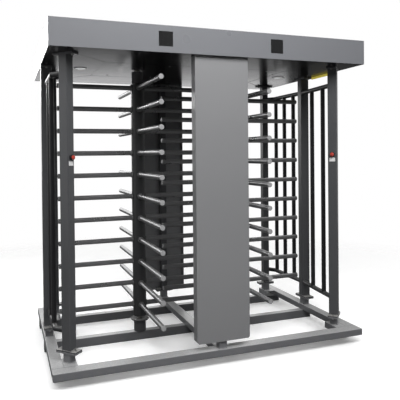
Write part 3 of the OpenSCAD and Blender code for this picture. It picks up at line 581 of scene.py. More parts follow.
class Piece:
    """One piece of the object while its mesh is being made."""

    def __init__(self, name: str, body: Body, slot: Slot) -> None:
        """Starts an empty piece.

        Args:
            name: Name of the piece.
            body: CAD body that it rides on.
            slot: Material slot of its finish.
        """
        self.name = name
        self.body = body
        self.slot = slot
        self.bm = bmesh.new()
        self.uv = self.bm.loops.layers.uv.new("UVMap")
        self.lining: bpy.types.Material | None = None

    def line(self, coat: bpy.types.Material, where: Callable[[bmesh.types.BMFace], bool]) -> "Piece":
        """Gives some faces a coat of their own.

        Args:
            coat: Material of those faces.
            where: Test that picks them.

        Returns:
            The piece itself.
        """
        self.lining = coat
        self.bm.normal_update()
        for face in self.bm.faces:
            face.material_index = 1 if where(face) else 0
        return self

    def copy(self, node: str) -> "Piece":
        """Takes the shape of a CAD node as the raw stock of the piece.

        Args:
            node: Name of the node.

        Returns:
            The piece itself.
        """
        self.bm.from_mesh(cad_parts[node].data)
        self.uv = self.bm.loops.layers.uv.verify()
        bmesh.ops.remove_doubles(self.bm, verts=self.bm.verts, dist=2e-6)
        bmesh.ops.dissolve_limit(
            self.bm, angle_limit=math.radians(0.4), use_dissolve_boundaries=False,
            verts=self.bm.verts, edges=self.bm.edges,
        )
        return self

    def soften(
        self, width: float, steps: int = 2, least: float = 30.0,
        where: Callable[[bmesh.types.BMEdge], bool] | None = None,
    ) -> "Piece":
        """Rounds the sharp edges.

        Args:
            width: Width of the rounding in metres.
            steps: Number of faces across it.
            least: Least angle between two faces, in degrees, that counts as sharp.
            where: Test that picks edges, or None for all.

        Returns:
            The piece itself.
        """
        limit = math.radians(least)
        sharp = [
            e for e in self.bm.edges
            if len(e.link_faces) == 2 and e.calc_face_angle(0.0) > limit and (where is None or where(e))
        ]
        bmesh.ops.bevel(
            self.bm, geom=sharp, offset=width, offset_type="OFFSET", segments=steps,
            profile=0.5, affect="EDGES", clamp_overlap=False,
        )
        self.bm.verts.index_update()
        self.bm.faces.sort(key=self.rank)
        return self

    def rank(self, face: bmesh.types.BMFace) -> int:
        """Ranks a face by its first vertices, because a bevel orders the faces anew on each run."""
        count = len(self.bm.verts)
        first, second, third = sorted(v.index for v in face.verts)[:3]
        return (first * count + second) * count + third

    def lathe(self, outline: Outline, place: Matrix, steps: int = 32) -> "Piece":
        """Turns an outline round the local Z axis.

        Args:
            outline: Radius and height of each point.
            place: Where the axis goes.
            steps: Number of faces round the axis.

        Returns:
            The piece itself.
        """
        along = [0.0]
        for (r0, z0), (r1, z1) in zip(outline, outline[1:]):
            along.append(along[-1] + math.hypot(r1 - r0, z1 - z0))
        rings = [
            [self.bm.verts.new(place @ Vector((x, y, z))) for x, y in circle(radius, steps if radius else 1)]
            for radius, z in outline
        ]
        for low, high, start, end in zip(rings, rings[1:], along, along[1:]):
            for i in range(steps):
                j = (i + 1) % steps
                corners = (low[i % len(low)], low[j % len(low)], high[j % len(high)], high[i % len(high)])
                spots = ((i / steps, start), ((i + 1) / steps, start), ((i + 1) / steps, end), (i / steps, end))
                kept: dict[bmesh.types.BMVert, tuple[float, float]] = {}
                for corner, spot in zip(corners, spots):
                    kept.setdefault(corner, spot)
                if len(kept) > 2:
                    face = self.bm.faces.new(list(kept))
                    for loop, spot in zip(face.loops, kept.values()):
                        loop[self.uv].uv = spot
        return self

    def loft(self, levels: Sequence[Sequence[Vector]], ring: bool = False) -> "Piece":
        """Joins level after level of points with faces.

        Args:
            levels: Points of each level, as many in each.
            ring: Whether the last level joins the first one again; if not, both are closed.

        Returns:
            The piece itself.
        """
        rows = [[self.bm.verts.new(spot) for spot in level] for level in levels]
        links = list(zip(rows, rows[1:]))
        if ring:
            links.append((rows[-1], rows[0]))
        else:
            self.bm.faces.new(rows[0][::-1])
            self.bm.faces.new(rows[-1])
        for low, high in links:
            for i, start in enumerate(low):
                j = (i + 1) % len(low)
                self.bm.faces.new([start, low[j], high[j], high[i]])
        return self

    def prism(self, outline: Outline, height: float, place: Matrix) -> "Piece":
        """Raises a closed flat outline of the local XY plane along the local Z axis."""
        return self.loft([[place @ Vector((x, y, z)) for x, y in outline] for z in (0, height)])

    def hexagon(self, radius: float, height: float, place: Matrix, both_ends: bool = False) -> "Piece":
        """Adds a hexagonal bolt head or nut with the turned chamfer of real ones.

        Args:
            radius: Distance from the axis to a corner.
            height: Height along the local Z axis.
            place: Where the head goes.
            both_ends: Whether the lower end is chamfered too.

        Returns:
            The piece itself.
        """
        steps, flat = 24, radius * math.cos(math.pi / 6)
        turns = [2 * math.pi * i / steps for i in range(steps)]
        sides = [flat / math.cos(turn % (math.pi / 3) - math.pi / 6) for turn in turns]
        crown = [flat * 0.96] * steps
        cut = [(side - flat * 0.96) * math.tan(math.radians(30)) for side in sides]
        level = [0.0] * steps
        levels = [
            (sides, cut if both_ends else level), (sides, [height - c for c in cut]), (crown, [height] * steps),
        ]
        if both_ends:
            levels.insert(0, (crown, level))
        return self.loft([
            [place @ Vector((r * math.cos(t), r * math.sin(t), z)) for r, t, z in zip(radii, turns, heights)]
            for radii, heights in levels
        ])

    def bead(self, path: Sequence[Vector], radius: float) -> "Piece":
        """Lays a weld bead with its ripples along a closed path.

        Args:
            path: Points that the bead follows.
            radius: Half its width in metres.

        Returns:
            The piece itself.
        """
        rows: list[list[Vector]] = []
        for k, spot in enumerate(path):
            ahead = (path[(k + 1) % len(path)] - path[k - 1]).normalized()
            side = ahead.orthogonal().normalized()
            if abs(ahead.z) < 0.9:
                side = ahead.cross(Vector((0, 0, 1))).normalized()
            up = side.cross(ahead)
            swell = radius * (1 + 0.13 * math.sin(k * 2.1) + 0.06 * math.sin(k * 5.3))
            rows.append([spot + swell * (side * x + up * y) for x, y in circle(1.0, 6)])
        return self.loft(rows, True)

    def finish(self, *replaced: str, rough_edges: float = 32.0, flat_map: bool = False) -> bpy.types.Object:
        """Turns the mesh into an object with its finish, on its body.

        Args:
            replaced: CAD nodes that the piece stands for.
            rough_edges: Angle in degrees above which an edge stays crisp.
            flat_map: Whether the surface map is laid flat from above.

        Returns:
            The object.
        """
        bmesh.ops.recalc_face_normals(self.bm, faces=self.bm.faces)
        if flat_map:
            for face in self.bm.faces:
                for loop in face.loops:
                    loop[self.uv].uv = (loop.vert.co.x, loop.vert.co.y)
        mesh = bpy.data.meshes.new(self.name)
        self.bm.to_mesh(mesh)
        self.bm.free()
        spent = mesh.attributes.get("custom_normal")
        if spent is not None:
            mesh.attributes.remove(spent)
        for polygon in mesh.polygons:
            polygon.use_smooth = True
            if self.lining is None:
                polygon.material_index = 0
        mesh.set_sharp_from_angle(angle=math.radians(rough_edges))
        mesh.materials.clear()
        mesh.materials.append(stock(self.slot))
        if self.lining is not None:
            mesh.materials.append(self.lining)
        piece = bpy.data.objects.new(self.name, mesh)
        bpy.context.scene.collection.objects.link(piece)
        piece.modifiers.new("face_weight", "WEIGHTED_NORMAL").keep_sharp = True
        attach(piece, self.body.value)
        if replaced:
            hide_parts(*replaced)
        log.info("%-28s %6d faces on %s", self.name, len(mesh.polygons), self.body.value)
        return piece


def refine(
    node: str, name: str, slot: Slot, width: float, steps: int = 2, least: float = 50.0, body: Body = Body.FRAME
) -> None:
    """Replaces a CAD node by its own shape with softened edges and a finish."""
    Piece(name, body, slot).copy(node).soften(width, steps, least).finish(node)


def circle(radius: float, steps: int) -> list[tuple[float, float]]:
    """Gives the points of a circle in order."""
    turns = (2 * math.pi * i / steps for i in range(steps))
    return [(radius * math.cos(turn), radius * math.sin(turn)) for turn in turns]


def at(x: float, y: float, z: float, turn: float = 0.0) -> Matrix:
    """Gives a place with a turn in degrees about the upright axis."""
    return Matrix.Translation((x, y, z)) @ Matrix.Rotation(math.radians(turn), 4, "Z")


def lying(x: float, y: float, z: float, turn: float) -> Matrix:
    """Gives a place whose local Z axis lies level, turned in degrees from +X."""
    return at(x, y, z, turn) @ Matrix.Rotation(math.radians(90), 4, "Y")


def rectangle_path(half_x: float, half_y: float, corner: float, place: Matrix) -> list[Vector]:
    """Gives points round a rectangle with rounded corners.

    Args:
        half_x: Half its size along the local X axis.
        half_y: Half its size along the local Y axis.
        corner: Radius of its corners.
        place: Where its middle goes.

    Returns:
        The points in order.
    """
    points: list[Vector] = []
    for side in range(4):
        out, along = (half_y, half_x) if side % 2 else (half_x, half_y)
        run = 2 * (along - corner)
        steps = max(2, round(run / BEAD_STEP))
        turn = place @ Matrix.Rotation(math.radians(90 * side), 4, "Z")
        for i in range(steps):
            points.append(turn @ Vector((out, -run / 2 + run * i / steps, 0)))
        for i in range(3):
            lean = math.radians(30 * i)
            x = out - corner + corner * math.cos(lean)
            y = along - corner + corner * math.sin(lean)
            points.append(turn @ Vector((x, y, 0)))
    return points


@dataclass
class PostSpot:
    """Place of one post, its size along its plates and its width across them."""

    x: float
    y: float
    turn: float
    size: float
    width: float


@dataclass
class PostPlan:
    """Places of all posts and the sizes that they share."""

    front: tuple[PostSpot, ...] = (
        PostSpot(-1.0615, -0.543, -45, 0.07, 0.07), PostSpot(1.0615, -0.543, 45, 0.07, 0.07),
    )
    middle: tuple[PostSpot, ...] = (
        PostSpot(-1.1475, 0, 90, 0.06, 0.08), PostSpot(1.1475, 0, 90, 0.06, 0.08),
    )
    rear: tuple[PostSpot, ...] = (
        PostSpot(-1.0485, 0.543, 0, 0.06, 0.06), PostSpot(1.0485, 0.543, 0, 0.06, 0.06),
    )
    centre: tuple[PostSpot, ...] = (
        PostSpot(0, -0.677, 0, 0.06, 0.06), PostSpot(0, 0.677, 0, 0.06, 0.06),
    )
    stub_width: float = 0.06
    corner: float = 0.006
    bolt_reach: float = 0.058
    weld_gap: float = 0.0006
    z_deck: float = 0.12
    z_joint: float = 0.18
    z_head: float = 2.188
    plate: float = 0.01

    def every(self) -> list[PostSpot]:
        """Lists all posts."""
        return [*self.front, *self.middle, *self.rear, *self.centre]


PLAN = PostPlan()


@dataclass
class WeldedSteel:
    """Steel nodes with softened edges, and a weld bead at both ends of every post on them."""

    nodes: tuple[str, ...]
    paint: Slot
    welds: str
    levels: tuple[float, float]
    edge: float = 0.0008
    bead: float = 0.0028

    def build(self) -> None:
        """Makes the steel with softened edges."""
        for node in self.nodes:
            refine(node, node + "_steel", self.paint, self.edge, least=30)

    def section(self, spot: PostSpot) -> tuple[float, float]:
        """Gives the size of what stands at a post's place, along and across its plates."""
        return spot.size, spot.width

    def dress(self) -> None:
        """Lays the weld beads."""
        welds = Piece(self.welds, Body.FRAME, self.paint)
        for spot in PLAN.every():
            half_x, half_y = (size / 2 + PLAN.weld_gap for size in self.section(spot))
            for height in self.levels:
                place = at(spot.x, spot.y, height, spot.turn)
                welds.bead(rectangle_path(half_x, half_y, PLAN.corner, place), self.bead)
        welds.finish(rough_edges=60)


@dataclass
class BaseFrame(WeldedSteel):
    """Raised frame of beams, the cross beams under it and the stubs of the posts."""

    nodes: tuple[str, ...] = (
        "base_front_beam", "base_side_beams", "base_centre_beam", "floor_sleepers", "corner_pads", "post_stubs",
    )
    paint: Slot = Slot.BASE
    welds: str = "stub_welds"
    levels: tuple[float, float] = (PLAN.z_deck + PLAN.weld_gap, PLAN.z_joint - PLAN.weld_gap)

    def section(self, spot: PostSpot) -> tuple[float, float]:
        """Gives the size of a stub, which is the same at every post."""
        return PLAN.stub_width, PLAN.stub_width


@dataclass
class Posts(WeldedSteel):
    """Eight square posts with their foot plates and head plates."""

    nodes: tuple[str, ...] = ("front_posts", "mid_posts", "rear_posts", "centre_posts")
    paint: Slot = Slot.POST
    welds: str = "post_welds"
    levels: tuple[float, float] = (
        PLAN.z_joint + 2 * PLAN.plate + PLAN.weld_gap, PLAN.z_head - PLAN.plate - PLAN.weld_gap,
    )


@dataclass
class Fasteners:
    """Bolts, nuts and screws of the frame."""

    head_radius: float = 0.01
    head_height: float = 0.008
    nut_height: float = 0.01
    bolt_radius: float = 0.006
    bolt_end: float = 0.0197
    chamfer: float = 0.0012
    screw_radius: float = 0.0055
    screw_height: float = 0.003
    socket_radius: float = 0.0024
    socket_depth: float = 0.0016
    screw_x: tuple[float, ...] = (-0.6135, -0.2335, 0.2335, 0.6135)
    screw_y: float = 0.27
    zinc: Slot = Slot.BOLT

    def bolt_places(self) -> list[tuple[PostSpot, float]]:
        """Lists each post with the reach of its two bolts."""
        return [(spot, side * PLAN.bolt_reach) for spot in PLAN.every() for side in (-1, 1)]

    def build(self) -> None:
        """Makes the foot bolts with their nuts and the head bolts."""
        feet = Piece("foot_bolts_and_nuts", Body.FRAME, self.zinc)
        heads = Piece("head_bolts_fine", Body.FRAME, self.zinc)
        deck = PLAN.z_joint + 2 * PLAN.plate
        r, end = self.bolt_radius, self.bolt_end
        stem = [(0, 0.0), (r, 0.0), (r, end - self.chamfer), (r - self.chamfer, end), (0, end)]
        for spot, reach in self.bolt_places():
            along = Matrix.Translation((reach, 0, 0))
            feet.hexagon(self.head_radius, self.head_height, at(spot.x, spot.y, deck, spot.turn) @ along)
            nut = at(spot.x, spot.y, PLAN.z_joint - self.nut_height, spot.turn) @ along
            feet.hexagon(self.head_radius, self.nut_height, nut, True)
            feet.lathe([(0, 0.0002), (r, 0.0002), (r, -0.0002), (0, -self.chamfer)], nut, 20)
            under = at(spot.x, spot.y, PLAN.z_head - PLAN.plate, spot.turn) @ along
            heads.hexagon(self.head_radius, self.head_height, under @ UPSIDE_DOWN)
            heads.lathe(stem, under, 20)
        feet.finish("foot_bolts", rough_edges=25)
        heads.finish("head_bolts", rough_edges=25)

    def dress(self) -> None:
        """Makes the pan head screws of the service hatch with their hexagon sockets."""
        screws = Piece("hatch_screws_fine", Body.FRAME, self.zinc)
        r, h = self.screw_radius, self.screw_height
        rise = [math.radians(a) for a in range(0, 61, 15)]
        crown = [(r * math.cos(a), h * (0.25 + 0.75 * math.sin(a))) for a in rise]
        s, floor = self.socket_radius, h - self.socket_depth
        outline = [(0, 0), (r, 0), *crown, (s, h), (s, floor), (0, floor)]
        for x in self.screw_x:
            for y in (-self.screw_y, self.screw_y):
                down = at(x, y, PLAN.z_head) @ UPSIDE_DOWN
                screws.lathe(outline, down, 24)
                screws.lathe([(0, 0.0), (0.003, 0.0), (0.003, -0.0125), (0, -0.0132)], down, 16)
        screws.finish("hatch_screws", rough_edges=30)


@dataclass
class SideFences:
    """Left and right fence of round rails and upright bars, the left one with bent front rails."""

    edge: float = 0.0005
    bead: float = 0.0022
    rail_x: float = 1.1265
    bent_rail_x: float = 1.144
    slope: float = 0.1267
    rail_start: float = 0.03
    rail_radius: float = 0.019
    bar_radius: float = 0.018
    low_rail: float = 0.325
    high_rail: float = 2.055
    bars: tuple[float, ...] = (-0.384, -0.198, 0.132, 0.2865, 0.441)
    paint: Slot = Slot.FENCE

    def build(self) -> None:
        """Makes the rails and bars with softened ends."""
        for side in Side:
            refine(side.word + "_fence", side.word + "_fence_steel", self.paint, self.edge)

    def dress(self) -> None:
        """Lays the weld beads round both ends of every bar."""
        welds = Piece("fence_welds", Body.FRAME, self.paint)
        for side in Side:
            for y in self.bars:
                bent = side is Side.LEFT and y < 0
                lean = self.slope if y < 0 and not bent else 0.0
                middle = self.bent_rail_x if bent else self.rail_x - lean * (-y - self.rail_start)
                foot = at(side.value * middle, y, 0, -side.value * math.degrees(math.atan(lean)))
                for height, way in ((self.low_rail, 1), (self.high_rail, -1)):
                    path = [
                        foot @ Vector((across, out, height + way * math.sqrt(self.rail_radius**2 - across**2)))
                        for across, out in circle(self.bar_radius, 24)
                    ]
                    welds.bead(path, self.bead)
        welds.finish(rough_edges=60)


@dataclass
class MiddlePanels:
    """Folded sheets that stand before and behind the middle."""

    half_width: float = 0.2035
    face_y: float = 0.725
    sheet: float = 0.002
    fold: float = 0.0028
    edge: float = 0.0004
    paint: Slot = Slot.PANEL

    def build(self) -> None:
        """Makes both panels with rounded folds."""
        hollow_coat = HOLLOW_COAT.make("panel_hollow_coat")
        for node in ("front_panel", "rear_panel"):
            panel = Piece(node + "_sheet", Body.FRAME, self.paint).copy(node)
            panel.soften(self.fold, 4, where=self.is_fold)
            panel.soften(self.edge, 1, least=50)
            panel.line(hollow_coat, self.is_inside).finish(node)

    def is_inside(self, face: bmesh.types.BMFace) -> bool:
        """Tells whether a face looks into the panel's hollow."""
        middle = face.calc_center_median()
        if abs(face.normal.y) > 0.9:
            return face.normal.y * middle.y < 0 and abs(middle.x) < self.half_width - 1.5 * self.sheet
        return face.normal.x * middle.x < 0 and abs(face.normal.x) > 0.9

    def is_fold(self, edge: bmesh.types.BMEdge) -> bool:
        """Tells whether an edge is one of the upright outer folds."""
        a, b = (v.co for v in edge.verts)
        corner = (self.half_width, self.face_y)
        at_corner = all(abs(abs(p[axis]) - corner[axis]) < 1e-4 for p in (a, b) for axis in (0, 1))
        return abs(a.z - b.z) > 0.5 and at_corner


@dataclass
class Canopy:
    """Deep roof with its fascias, mitred underside, hatch, windows and lamps."""

    edge: float = 0.0007
    fine_edge: float = 0.0004
    frame_edge: float = 0.0006
    strip_edge: float = 0.0008
    seam: float = 0.0035
    lamp_x: float = 0.8835
    lamp_radius: float = 0.0535
    can_radius: float = 0.045
    lens_radius: float = 0.041
    z_under: float = 2.188
    fascias: tuple[str, ...] = ("long_fascias", "end_fascias")
    soffits: tuple[str, ...] = ("long_soffits", "end_soffits", "service_hatch")

    def build(self) -> None:
        """Makes the sheets with softened folds and the frame under them."""
        for node in self.fascias:
            refine(node, node + "_sheet", Slot.FASCIA, self.edge, least=30)
        for node in self.soffits:
            piece = Piece(node + "_sheet", Body.FRAME, Slot.SOFFIT).copy(node)
            piece.soften(self.seam, 3, least=50, where=self.is_seam).soften(self.fine_edge, 1, least=50)
            piece.finish(node, flat_map=True)
        refine("top_cover", "top_cover_sheet", Slot.COVER, self.edge, least=30)
        for node in ("head_rails", "head_gussets"):
            refine(node, node + "_steel", Slot.HEAD_FRAME, self.frame_edge)

    def is_seam(self, edge: bmesh.types.BMEdge) -> bool:
        """Tells whether an edge is a long lower edge of an underside sheet."""
        return edge.calc_length() > 0.3 and all(abs(v.co.z - self.z_under) < 1e-4 for v in edge.verts)

    def dress(self) -> None:
        """Makes the windows, the lamps and the yellow strip."""
        refine("indicator_windows", "window_panes", Slot.WINDOW, self.frame_edge)
        refine("edge_strip", "yellow_edge_strip", Slot.STRIP, self.strip_edge, 3, 30)
        rings = Piece("lamp_rings", Body.FRAME, Slot.LAMP_RING)
        lenses = Piece("lamp_glasses", Body.FRAME, Slot.LAMP_GLASS)
        lip, can, eye = self.lamp_radius, self.can_radius, self.lens_radius
        for side in Side:
            down = at(side.value * self.lamp_x, 0, self.z_under) @ UPSIDE_DOWN
            rings.lathe(
                [
                    (can, -0.034), (can, 0.0), (lip, 0.0), (lip, 0.0012), (lip - 0.001, 0.0022),
                    (lip - 0.003, 0.003), (eye + 0.0035, 0.003), (eye + 0.001, 0.0024), (eye + 0.0002, 0.001),
                    (eye + 0.0002, -0.032), (0, -0.032), (0, -0.034),
                ],
                down, 64,
            )
            lenses.lathe(
                [
                    (0, 0.0), (eye, 0.0), (eye, 0.0014), (eye - 0.0012, 0.0022), (eye * 0.62, 0.0024),
                    (eye * 0.6, 0.0019), (eye * 0.57, 0.0024), (eye * 0.3, 0.00285), (0, 0.003),
                ],
                down, 64,
            )
        rings.finish("lamp_bezels", rough_edges=40)
        lenses.finish("lamp_lenses", rough_edges=40)


@dataclass
class Rotor:
    """Column with its wings of tubes, the shaft coupling and the index disc."""

    side: Side
    tiers: int
    low_tier: float
    pitch: float = 0.1755
    axis_x: float = 0.4235
    column_radius: float = 0.054
    arm_radius: float = 0.019
    reach: float = 0.645
    collar_radius: float = 0.023
    collar: float = 0.008
    cap: float = 0.004
    bead: float = 0.0024

    @property
    def body(self) -> Body:
        """Body of this side's rotor."""
        return Body(self.side.word + "_rotor")

    def tube_places(self) -> list[Matrix]:
        """Lists the place of every tube, its local Z axis pointing outwards."""
        return [
            lying(self.side.value * self.axis_x, 0, self.low_tier + tier * self.pitch, quarter * 90)
            for tier in range(self.tiers)
            for quarter in range(4)
        ]

    def build(self) -> None:
        """Makes the column, the tubes with their root collars and the end caps."""
        word = self.side.word
        refine(word + "_column", word + "_column_tube", Slot.COLUMN, 0.001, body=self.body)
        tubes = Piece(word + "_wing_tubes", self.body, Slot.ARM)
        caps = Piece(word + "_tube_caps", self.body, Slot.CAP)
        r, skin, lip = self.arm_radius, self.column_radius, self.collar_radius
        edge, top = self.reach - self.cap, skin + self.collar
        root = math.sqrt(skin**2 - lip**2) - 0.001
        for place in self.tube_places():
            tubes.lathe(
                [
                    (0, root), (lip, root), (lip, top - 0.001), (lip - 0.001, top), (r + 0.0012, top),
                    (r, top + 0.0012), (r, skin + 0.2), (r, skin + 0.4), (r, edge - 0.0008),
                    (r - 0.0006, edge - 0.0002), (0, edge - 0.0002),
                ],
                place,
            )
            caps.lathe(
                [
                    (0, edge - 0.0002), (r - 0.0007, edge - 0.0002), (r - 0.0001, edge + 0.0004),
                    (r, edge + 0.0012), (r - 0.0003, edge + 0.0022), (r - 0.0013, edge + 0.0032),
                    (r - 0.0035, edge + 0.0037), (r * 0.5, self.reach - 0.0001), (0, self.reach),
                ],
                place,
            )
        tubes.finish(word + "_arms", rough_edges=50)
        caps.finish(word + "_arm_caps", rough_edges=50)

    def dress(self) -> None:
        """Lays the weld beads round the tubes' roots and makes the parts on the shaft."""
        welds = Piece(self.side.word + "_root_welds", self.body, Slot.COLUMN)
        for place in self.tube_places():
            path = [
                place @ Vector((x, y, math.sqrt(self.column_radius**2 - y**2) + 0.0008))
                for x, y in circle(self.collar_radius, 36)
            ]
            welds.bead(path, self.bead)
        welds.finish(rough_edges=60)
        for part, slot, width in (
            ("_coupling", Slot.BEARING, 0.001),
            ("_index_disc", Slot.MECHANISM, 0.0006),
            ("_shafts", Slot.MECHANISM, 0.001),
        ):
            node = self.side.word + part
            refine(node, node + "_fine", slot, width, body=self.body)


@dataclass
class LockHead:
    """Bearings, plates, pawls, solenoids and the control box inside the canopy."""

    fixed: tuple[tuple[str, Slot, float], ...] = (
        ("foot_bearings", Slot.BEARING, 0.0015),
        ("top_bearings", Slot.BEARING, 0.001),
        ("head_plates", Slot.MECHANISM, 0.0008),
        ("pawl_pins", Slot.MECHANISM, 0.0004),
        ("solenoids", Slot.SOLENOID, 0.0008),
        ("control_box", Slot.BOX, 0.002),
    )
    flange_top: float = 0.172
    screw_circle: float = 0.061
    screw_radius: float = 0.0065
    screw_height: float = 0.0042
    axis_x: float = 0.4235

    def build(self) -> None:
        """Makes the fixed pieces with softened edges and gives the moving ones their metal."""
        for node, slot, width in self.fixed:
            refine(node, node + "_fine", slot, width)
        for side in Side:
            for way in ("entry", "exit"):
                for part in ("pawl", "plunger"):
                    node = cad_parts[f"{side.word}_{way}_{part}"]
                    node.data.materials[0] = stock(Slot.MECHANISM)
                    log.info("%-28s keeps its CAD shape", node.name)

    def dress(self) -> None:
        """Adds the flange screws of the foot bearings."""
        screws = Piece("flange_screws", Body.FRAME, Slot.BOLT)
        out = Matrix.Translation((self.screw_circle, 0, 0))
        for side in Side:
            for quarter in range(4):
                place = at(side.value * self.axis_x, 0, self.flange_top, 45 + 90 * quarter)
                screws.hexagon(self.screw_radius, self.screw_height, place @ out)
        screws.finish(rough_edges=25)


@dataclass
class StopButton:
    """Black collar and red mushroom button on a front post, with the bare plate below it."""

    side: Side
    height: float = 1.492
    collar_radius: float = 0.018
    collar_height: float = 0.012
    head_radius: float = 0.016
    head_height: float = 0.011
    lift: float = 0.005
    stem_radius: float = 0.006

    def place(self, drop: float = 0.0) -> Matrix:
        """Gives a place on the post's face, its local Z axis pointing outwards.

        Args:
            drop: How far it lies below the button.

        Returns:
            The place.
        """
        left = self.side is Side.LEFT
        spot, turn = (PLAN.front[0], -45) if left else (PLAN.front[1], -135)
        return lying(spot.x, spot.y, self.height - drop, turn) @ Matrix.Translation((0, 0, spot.width / 2))

    def build(self) -> Piece:
        """Makes the button and returns the collar, which both sides share.

        Returns:
            The collar's piece, not finished.
        """
        word = self.side.word
        head = Piece(word + "_mushroom_button", Body(word + "_stop_button"), Slot.BUTTON)
        w, t, stem = self.collar_radius, self.collar_height, self.stem_radius
        r, h, base = self.head_radius, self.head_height, self.collar_height + self.lift
        rise = [math.radians(a) for a in range(0, 90, 9)]
        dome = [(r * math.cos(a), base + h * (1 + 2 * math.sin(a)) / 3) for a in rise]
        head.lathe(
            [
                (0, t - 0.007), (stem, t - 0.007), (stem, base + 0.0008), (r - 0.0035, base),
                (r - 0.001, base + 0.0002), (r, base + 0.0012), *dome, (0, base + h),
            ],
            self.place(), 48,
        )
        head.finish(word + "_button", rough_edges=40)
        return Piece(word + "_button_collar", Body.FRAME, Slot.COLLAR).lathe(
            [
                (0, 0), (w, 0), (w, t * 0.45), (w - 0.0012, t * 0.5), (w - 0.0012, t * 0.6), (w, t * 0.65),
                (w, t - 0.0015), (w - 0.0015, t), (w - 0.005, t), (w - 0.006, t - 0.0008),
                (stem + 0.0016, t - 0.0008), (stem + 0.0004, t - 0.0016), (stem + 0.0004, 0.0012), (0, 0.0012),
            ],
            self.place(), 48,
        )


@dataclass
class StopButtons:
    """Both emergency stops and their bare plates."""

    plate_width: float = 0.045
    plate_height: float = 0.03
    plate_drop: float = 0.041
    plate_thick: float = 0.001
    plate_corner: float = 0.003

    def build(self) -> None:
        """Makes both buttons, both collars and the plates."""
        left, right = (StopButton(side) for side in Side)
        left.build().finish("button_collars", rough_edges=40)
        right.build().finish(rough_edges=40)
        plates = Piece("bare_label_plates", Body.FRAME, Slot.LABEL)
        outline = rounded_rectangle(self.plate_height / 2, self.plate_width / 2, self.plate_corner)
        for button in (left, right):
            plates.prism(outline, self.plate_thick, button.place(self.plate_drop))
        plates.soften(0.0003, 2, least=50).finish("label_plates")


def rounded_rectangle(half_x: float, half_y: float, radius: float) -> list[tuple[float, float]]:
    """Gives the corners of a rectangle with rounded corners.

    Args:
        half_x: Half its size along X.
        half_y: Half its size along Y.
        radius: Radius of the corners.

    Returns:
        The points in order.
    """
    points: list[tuple[float, float]] = []
    for quarter, (sx, sy) in enumerate(((1, 1), (-1, 1), (-1, -1), (1, -1))):
        for angle in (0, 22.5, 45, 67.5, 90):
            turn = math.radians(90 * quarter + angle)
            x = sx * (half_x - radius) + radius * math.cos(turn)
            y = sy * (half_y - radius) + radius * math.sin(turn)
            points.append((x, y))
    return points


@dataclass(frozen=True)
class Softbox:
    """One large soft lamp."""

    name: str
    spot: tuple[float, float, float]
    aim: tuple[float, float, float]
    size: tuple[float, float]
    power: float
    mirrored: bool = True

    def hang(self) -> None:
        """Hangs the lamp, out of the camera's sight."""
        data = bpy.data.lights.new(self.name, "AREA")
        data.shape = "RECTANGLE"
        data.size, data.size_y = self.size
        data.energy = self.power
        lamp = bpy.data.objects.new(self.name, data)
        lamp.location = self.spot
        lamp.rotation_mode = "QUATERNION"
        lamp.rotation_quaternion = (Vector(self.aim) - Vector(self.spot)).to_track_quat("-Z", "Y")
        lamp.visible_camera = False
        lamp.visible_glossy = self.mirrored
        bpy.context.scene.collection.objects.link(lamp)


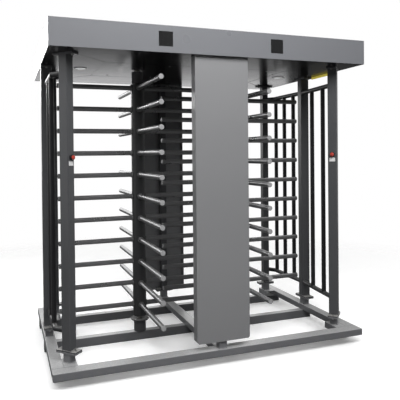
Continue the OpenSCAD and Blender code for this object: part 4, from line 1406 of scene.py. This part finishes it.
@dataclass
class Studio:
    """Pale floor, soft light and the camera at the photograph's angle."""

    eye: tuple[float, float, float] = (-1.4543, -3.8798, 1.5012)
    yaw: float = 18.7841
    pitch: float = -0.6695
    roll: float = -0.5918
    focal_pixels: float = 489.968
    centre_pixels: tuple[float, float] = (171.586, 160.692)
    picture: float = 400.0
    floor_size: float = 60.0
    floor_z: float = -0.0005
    floor_colour: Colour = (0.95, 0.95, 0.95)
    floor_bounce: Colour = (0.14, 0.14, 0.14)
    surroundings: tuple[float, float] = (0.05, 0.1)
    floor_glow: float = 0.16
    floor_fade: tuple[float, float] = (2.4, 5.2)
    softboxes: tuple[Softbox, ...] = (
        Softbox("front_softbox", (-0.15, -3.1, 3.7), (0.0, -0.75, 1.5), (3.6, 1.8), 225.0, mirrored=False),
        Softbox("front_card", (-0.1, -2.6, 0.35), (0, -0.7, 0.25), (3.4, 0.5), 10.0, mirrored=False),
        Softbox("left_softbox", (-4.8, 0.5, 4.6), (-0.6, 0, 0.2), (3.0, 4.0), 110.0),
        Softbox("right_softbox", (4.6, 0.6, 4.6), (0.6, 0, 0.2), (3.0, 4.0), 95.0),
        Softbox("rear_softbox", (0.5, 6.5, 2.5), (0, 0, 1.2), (9.0, 3.0), 160.0),
        Softbox("side_card", (-2.6, 3.4, 3.0), (-1.2, 0, 2.3), (1.2, 1.2), 90.0),
        Softbox("corner_card", (-1.9, -2.6, 1.2), (-1.06, -0.54, 1.1), (0.4, 2.0), 7.0, mirrored=False),
        Softbox("left_card", (-5.5, -0.3, 1.5), (0, -0.3, 1.2), (4.0, 2.6), 26.0),
        Softbox("right_card", (5.5, 0.3, 1.5), (0, 0.3, 1.2), (4.0, 2.6), 26.0),
    )

    def build(self) -> None:
        """Makes the floor, the lights and the camera."""
        self.lay_floor()
        self.light()
        self.set_camera()

    def lay_floor(self) -> None:
        """Lays the pale floor."""
        bpy.ops.mesh.primitive_plane_add(size=self.floor_size, location=(0, 0, self.floor_z))
        floor = bpy.context.active_object
        floor.name = "studio_floor"
        sheet = Sheet("studio_floor_paint")
        tone = sheet.effect(Effect.DRIFT, Colour=self.floor_colour, Amount=0.02, Scale=0.6)
        sight = sheet.join("ShaderNodeLightPath", {}, "Is Camera Ray")
        reach = sheet.join("ShaderNodeVectorMath", {0: sheet.over_object}, "Value", operation="LENGTH")
        sheet.put(
            base_color=sheet.mix(sight, self.floor_bounce, tone["Colour"]),
            alpha=sheet.spread(reach, *self.floor_fade, 1.0, 0.0),
            emission_strength=sheet.maths("MULTIPLY", sight, self.floor_glow),
            emission_color=(1.0, 1.0, 1.0),
            roughness=0.6,
            specular_ior_level=0.2,
        )
        floor.data.materials.append(sheet.material)

    def light(self) -> None:
        """Sets a white backdrop, surroundings that brighten towards the back, and the softboxes."""
        bpy.context.scene.view_settings.view_transform = "Standard"
        world = bpy.data.worlds.new("studio_air")
        bpy.context.scene.world = world
        world.use_nodes = True
        air = Wiring(world.node_tree)
        background = world.node_tree.nodes["Background"]
        background.inputs["Color"].default_value = (1.0, 1.0, 1.0, 1.0)
        sight = air.join("ShaderNodeLightPath", {}, "Is Camera Ray")
        around = air.join("ShaderNodeTexCoord", {}, "Generated")
        backwards = air.join("ShaderNodeSeparateXYZ", {0: around}, "Y")
        behind = air.spread(backwards, -0.1, 0.75, *self.surroundings)
        air.feed(background.inputs["Strength"], air.maths("MAXIMUM", sight, behind))
        for softbox in self.softboxes:
            softbox.hang()

    def set_camera(self) -> None:
        """Sets the camera from the fit to the photograph's edges."""
        yaw, pitch, roll = (math.radians(a) for a in (self.yaw, self.pitch, self.roll))
        ahead = Vector((math.sin(yaw), math.cos(yaw), 0))
        right = Vector((math.cos(yaw), -math.sin(yaw), 0))
        up = Vector((0, 0, 1))
        look = ahead * math.cos(pitch) + up * math.sin(pitch)
        over = up * math.cos(pitch) - ahead * math.sin(pitch)
        side = right * math.cos(roll) + over * math.sin(roll)
        top = over * math.cos(roll) - right * math.sin(roll)
        data = bpy.data.cameras.new("photo_camera")
        data.sensor_fit = "HORIZONTAL"
        data.sensor_width = 36.0
        data.lens = self.focal_pixels / self.picture * data.sensor_width
        data.shift_x = (self.picture / 2 - self.centre_pixels[0]) / self.picture
        data.shift_y = (self.centre_pixels[1] - self.picture / 2) / self.picture
        data.clip_end = 200
        camera = bpy.data.objects.new("photo_camera", data)
        columns = Matrix((side, top, -look)).transposed().to_4x4()
        camera.matrix_world = Matrix.Translation(self.eye) @ columns
        bpy.context.scene.collection.objects.link(camera)
        bpy.context.scene.camera = camera


def main() -> None:
    """Builds the turnstile's pieces in order and lights the scene."""
    logging.basicConfig(level=logging.INFO, format="%(message)s")
    Studio().build()
    for assembly in (
        BaseFrame(),
        Posts(),
        Fasteners(),
        SideFences(),
        Canopy(),
        Rotor(Side.LEFT, 11, 0.292),
        Rotor(Side.RIGHT, 10, 0.392035),
        LockHead(),
    ):
        assembly.build()
        assembly.dress()
    MiddlePanels().build()
    StopButtons().build()


if __name__ == "__main__":
    main()
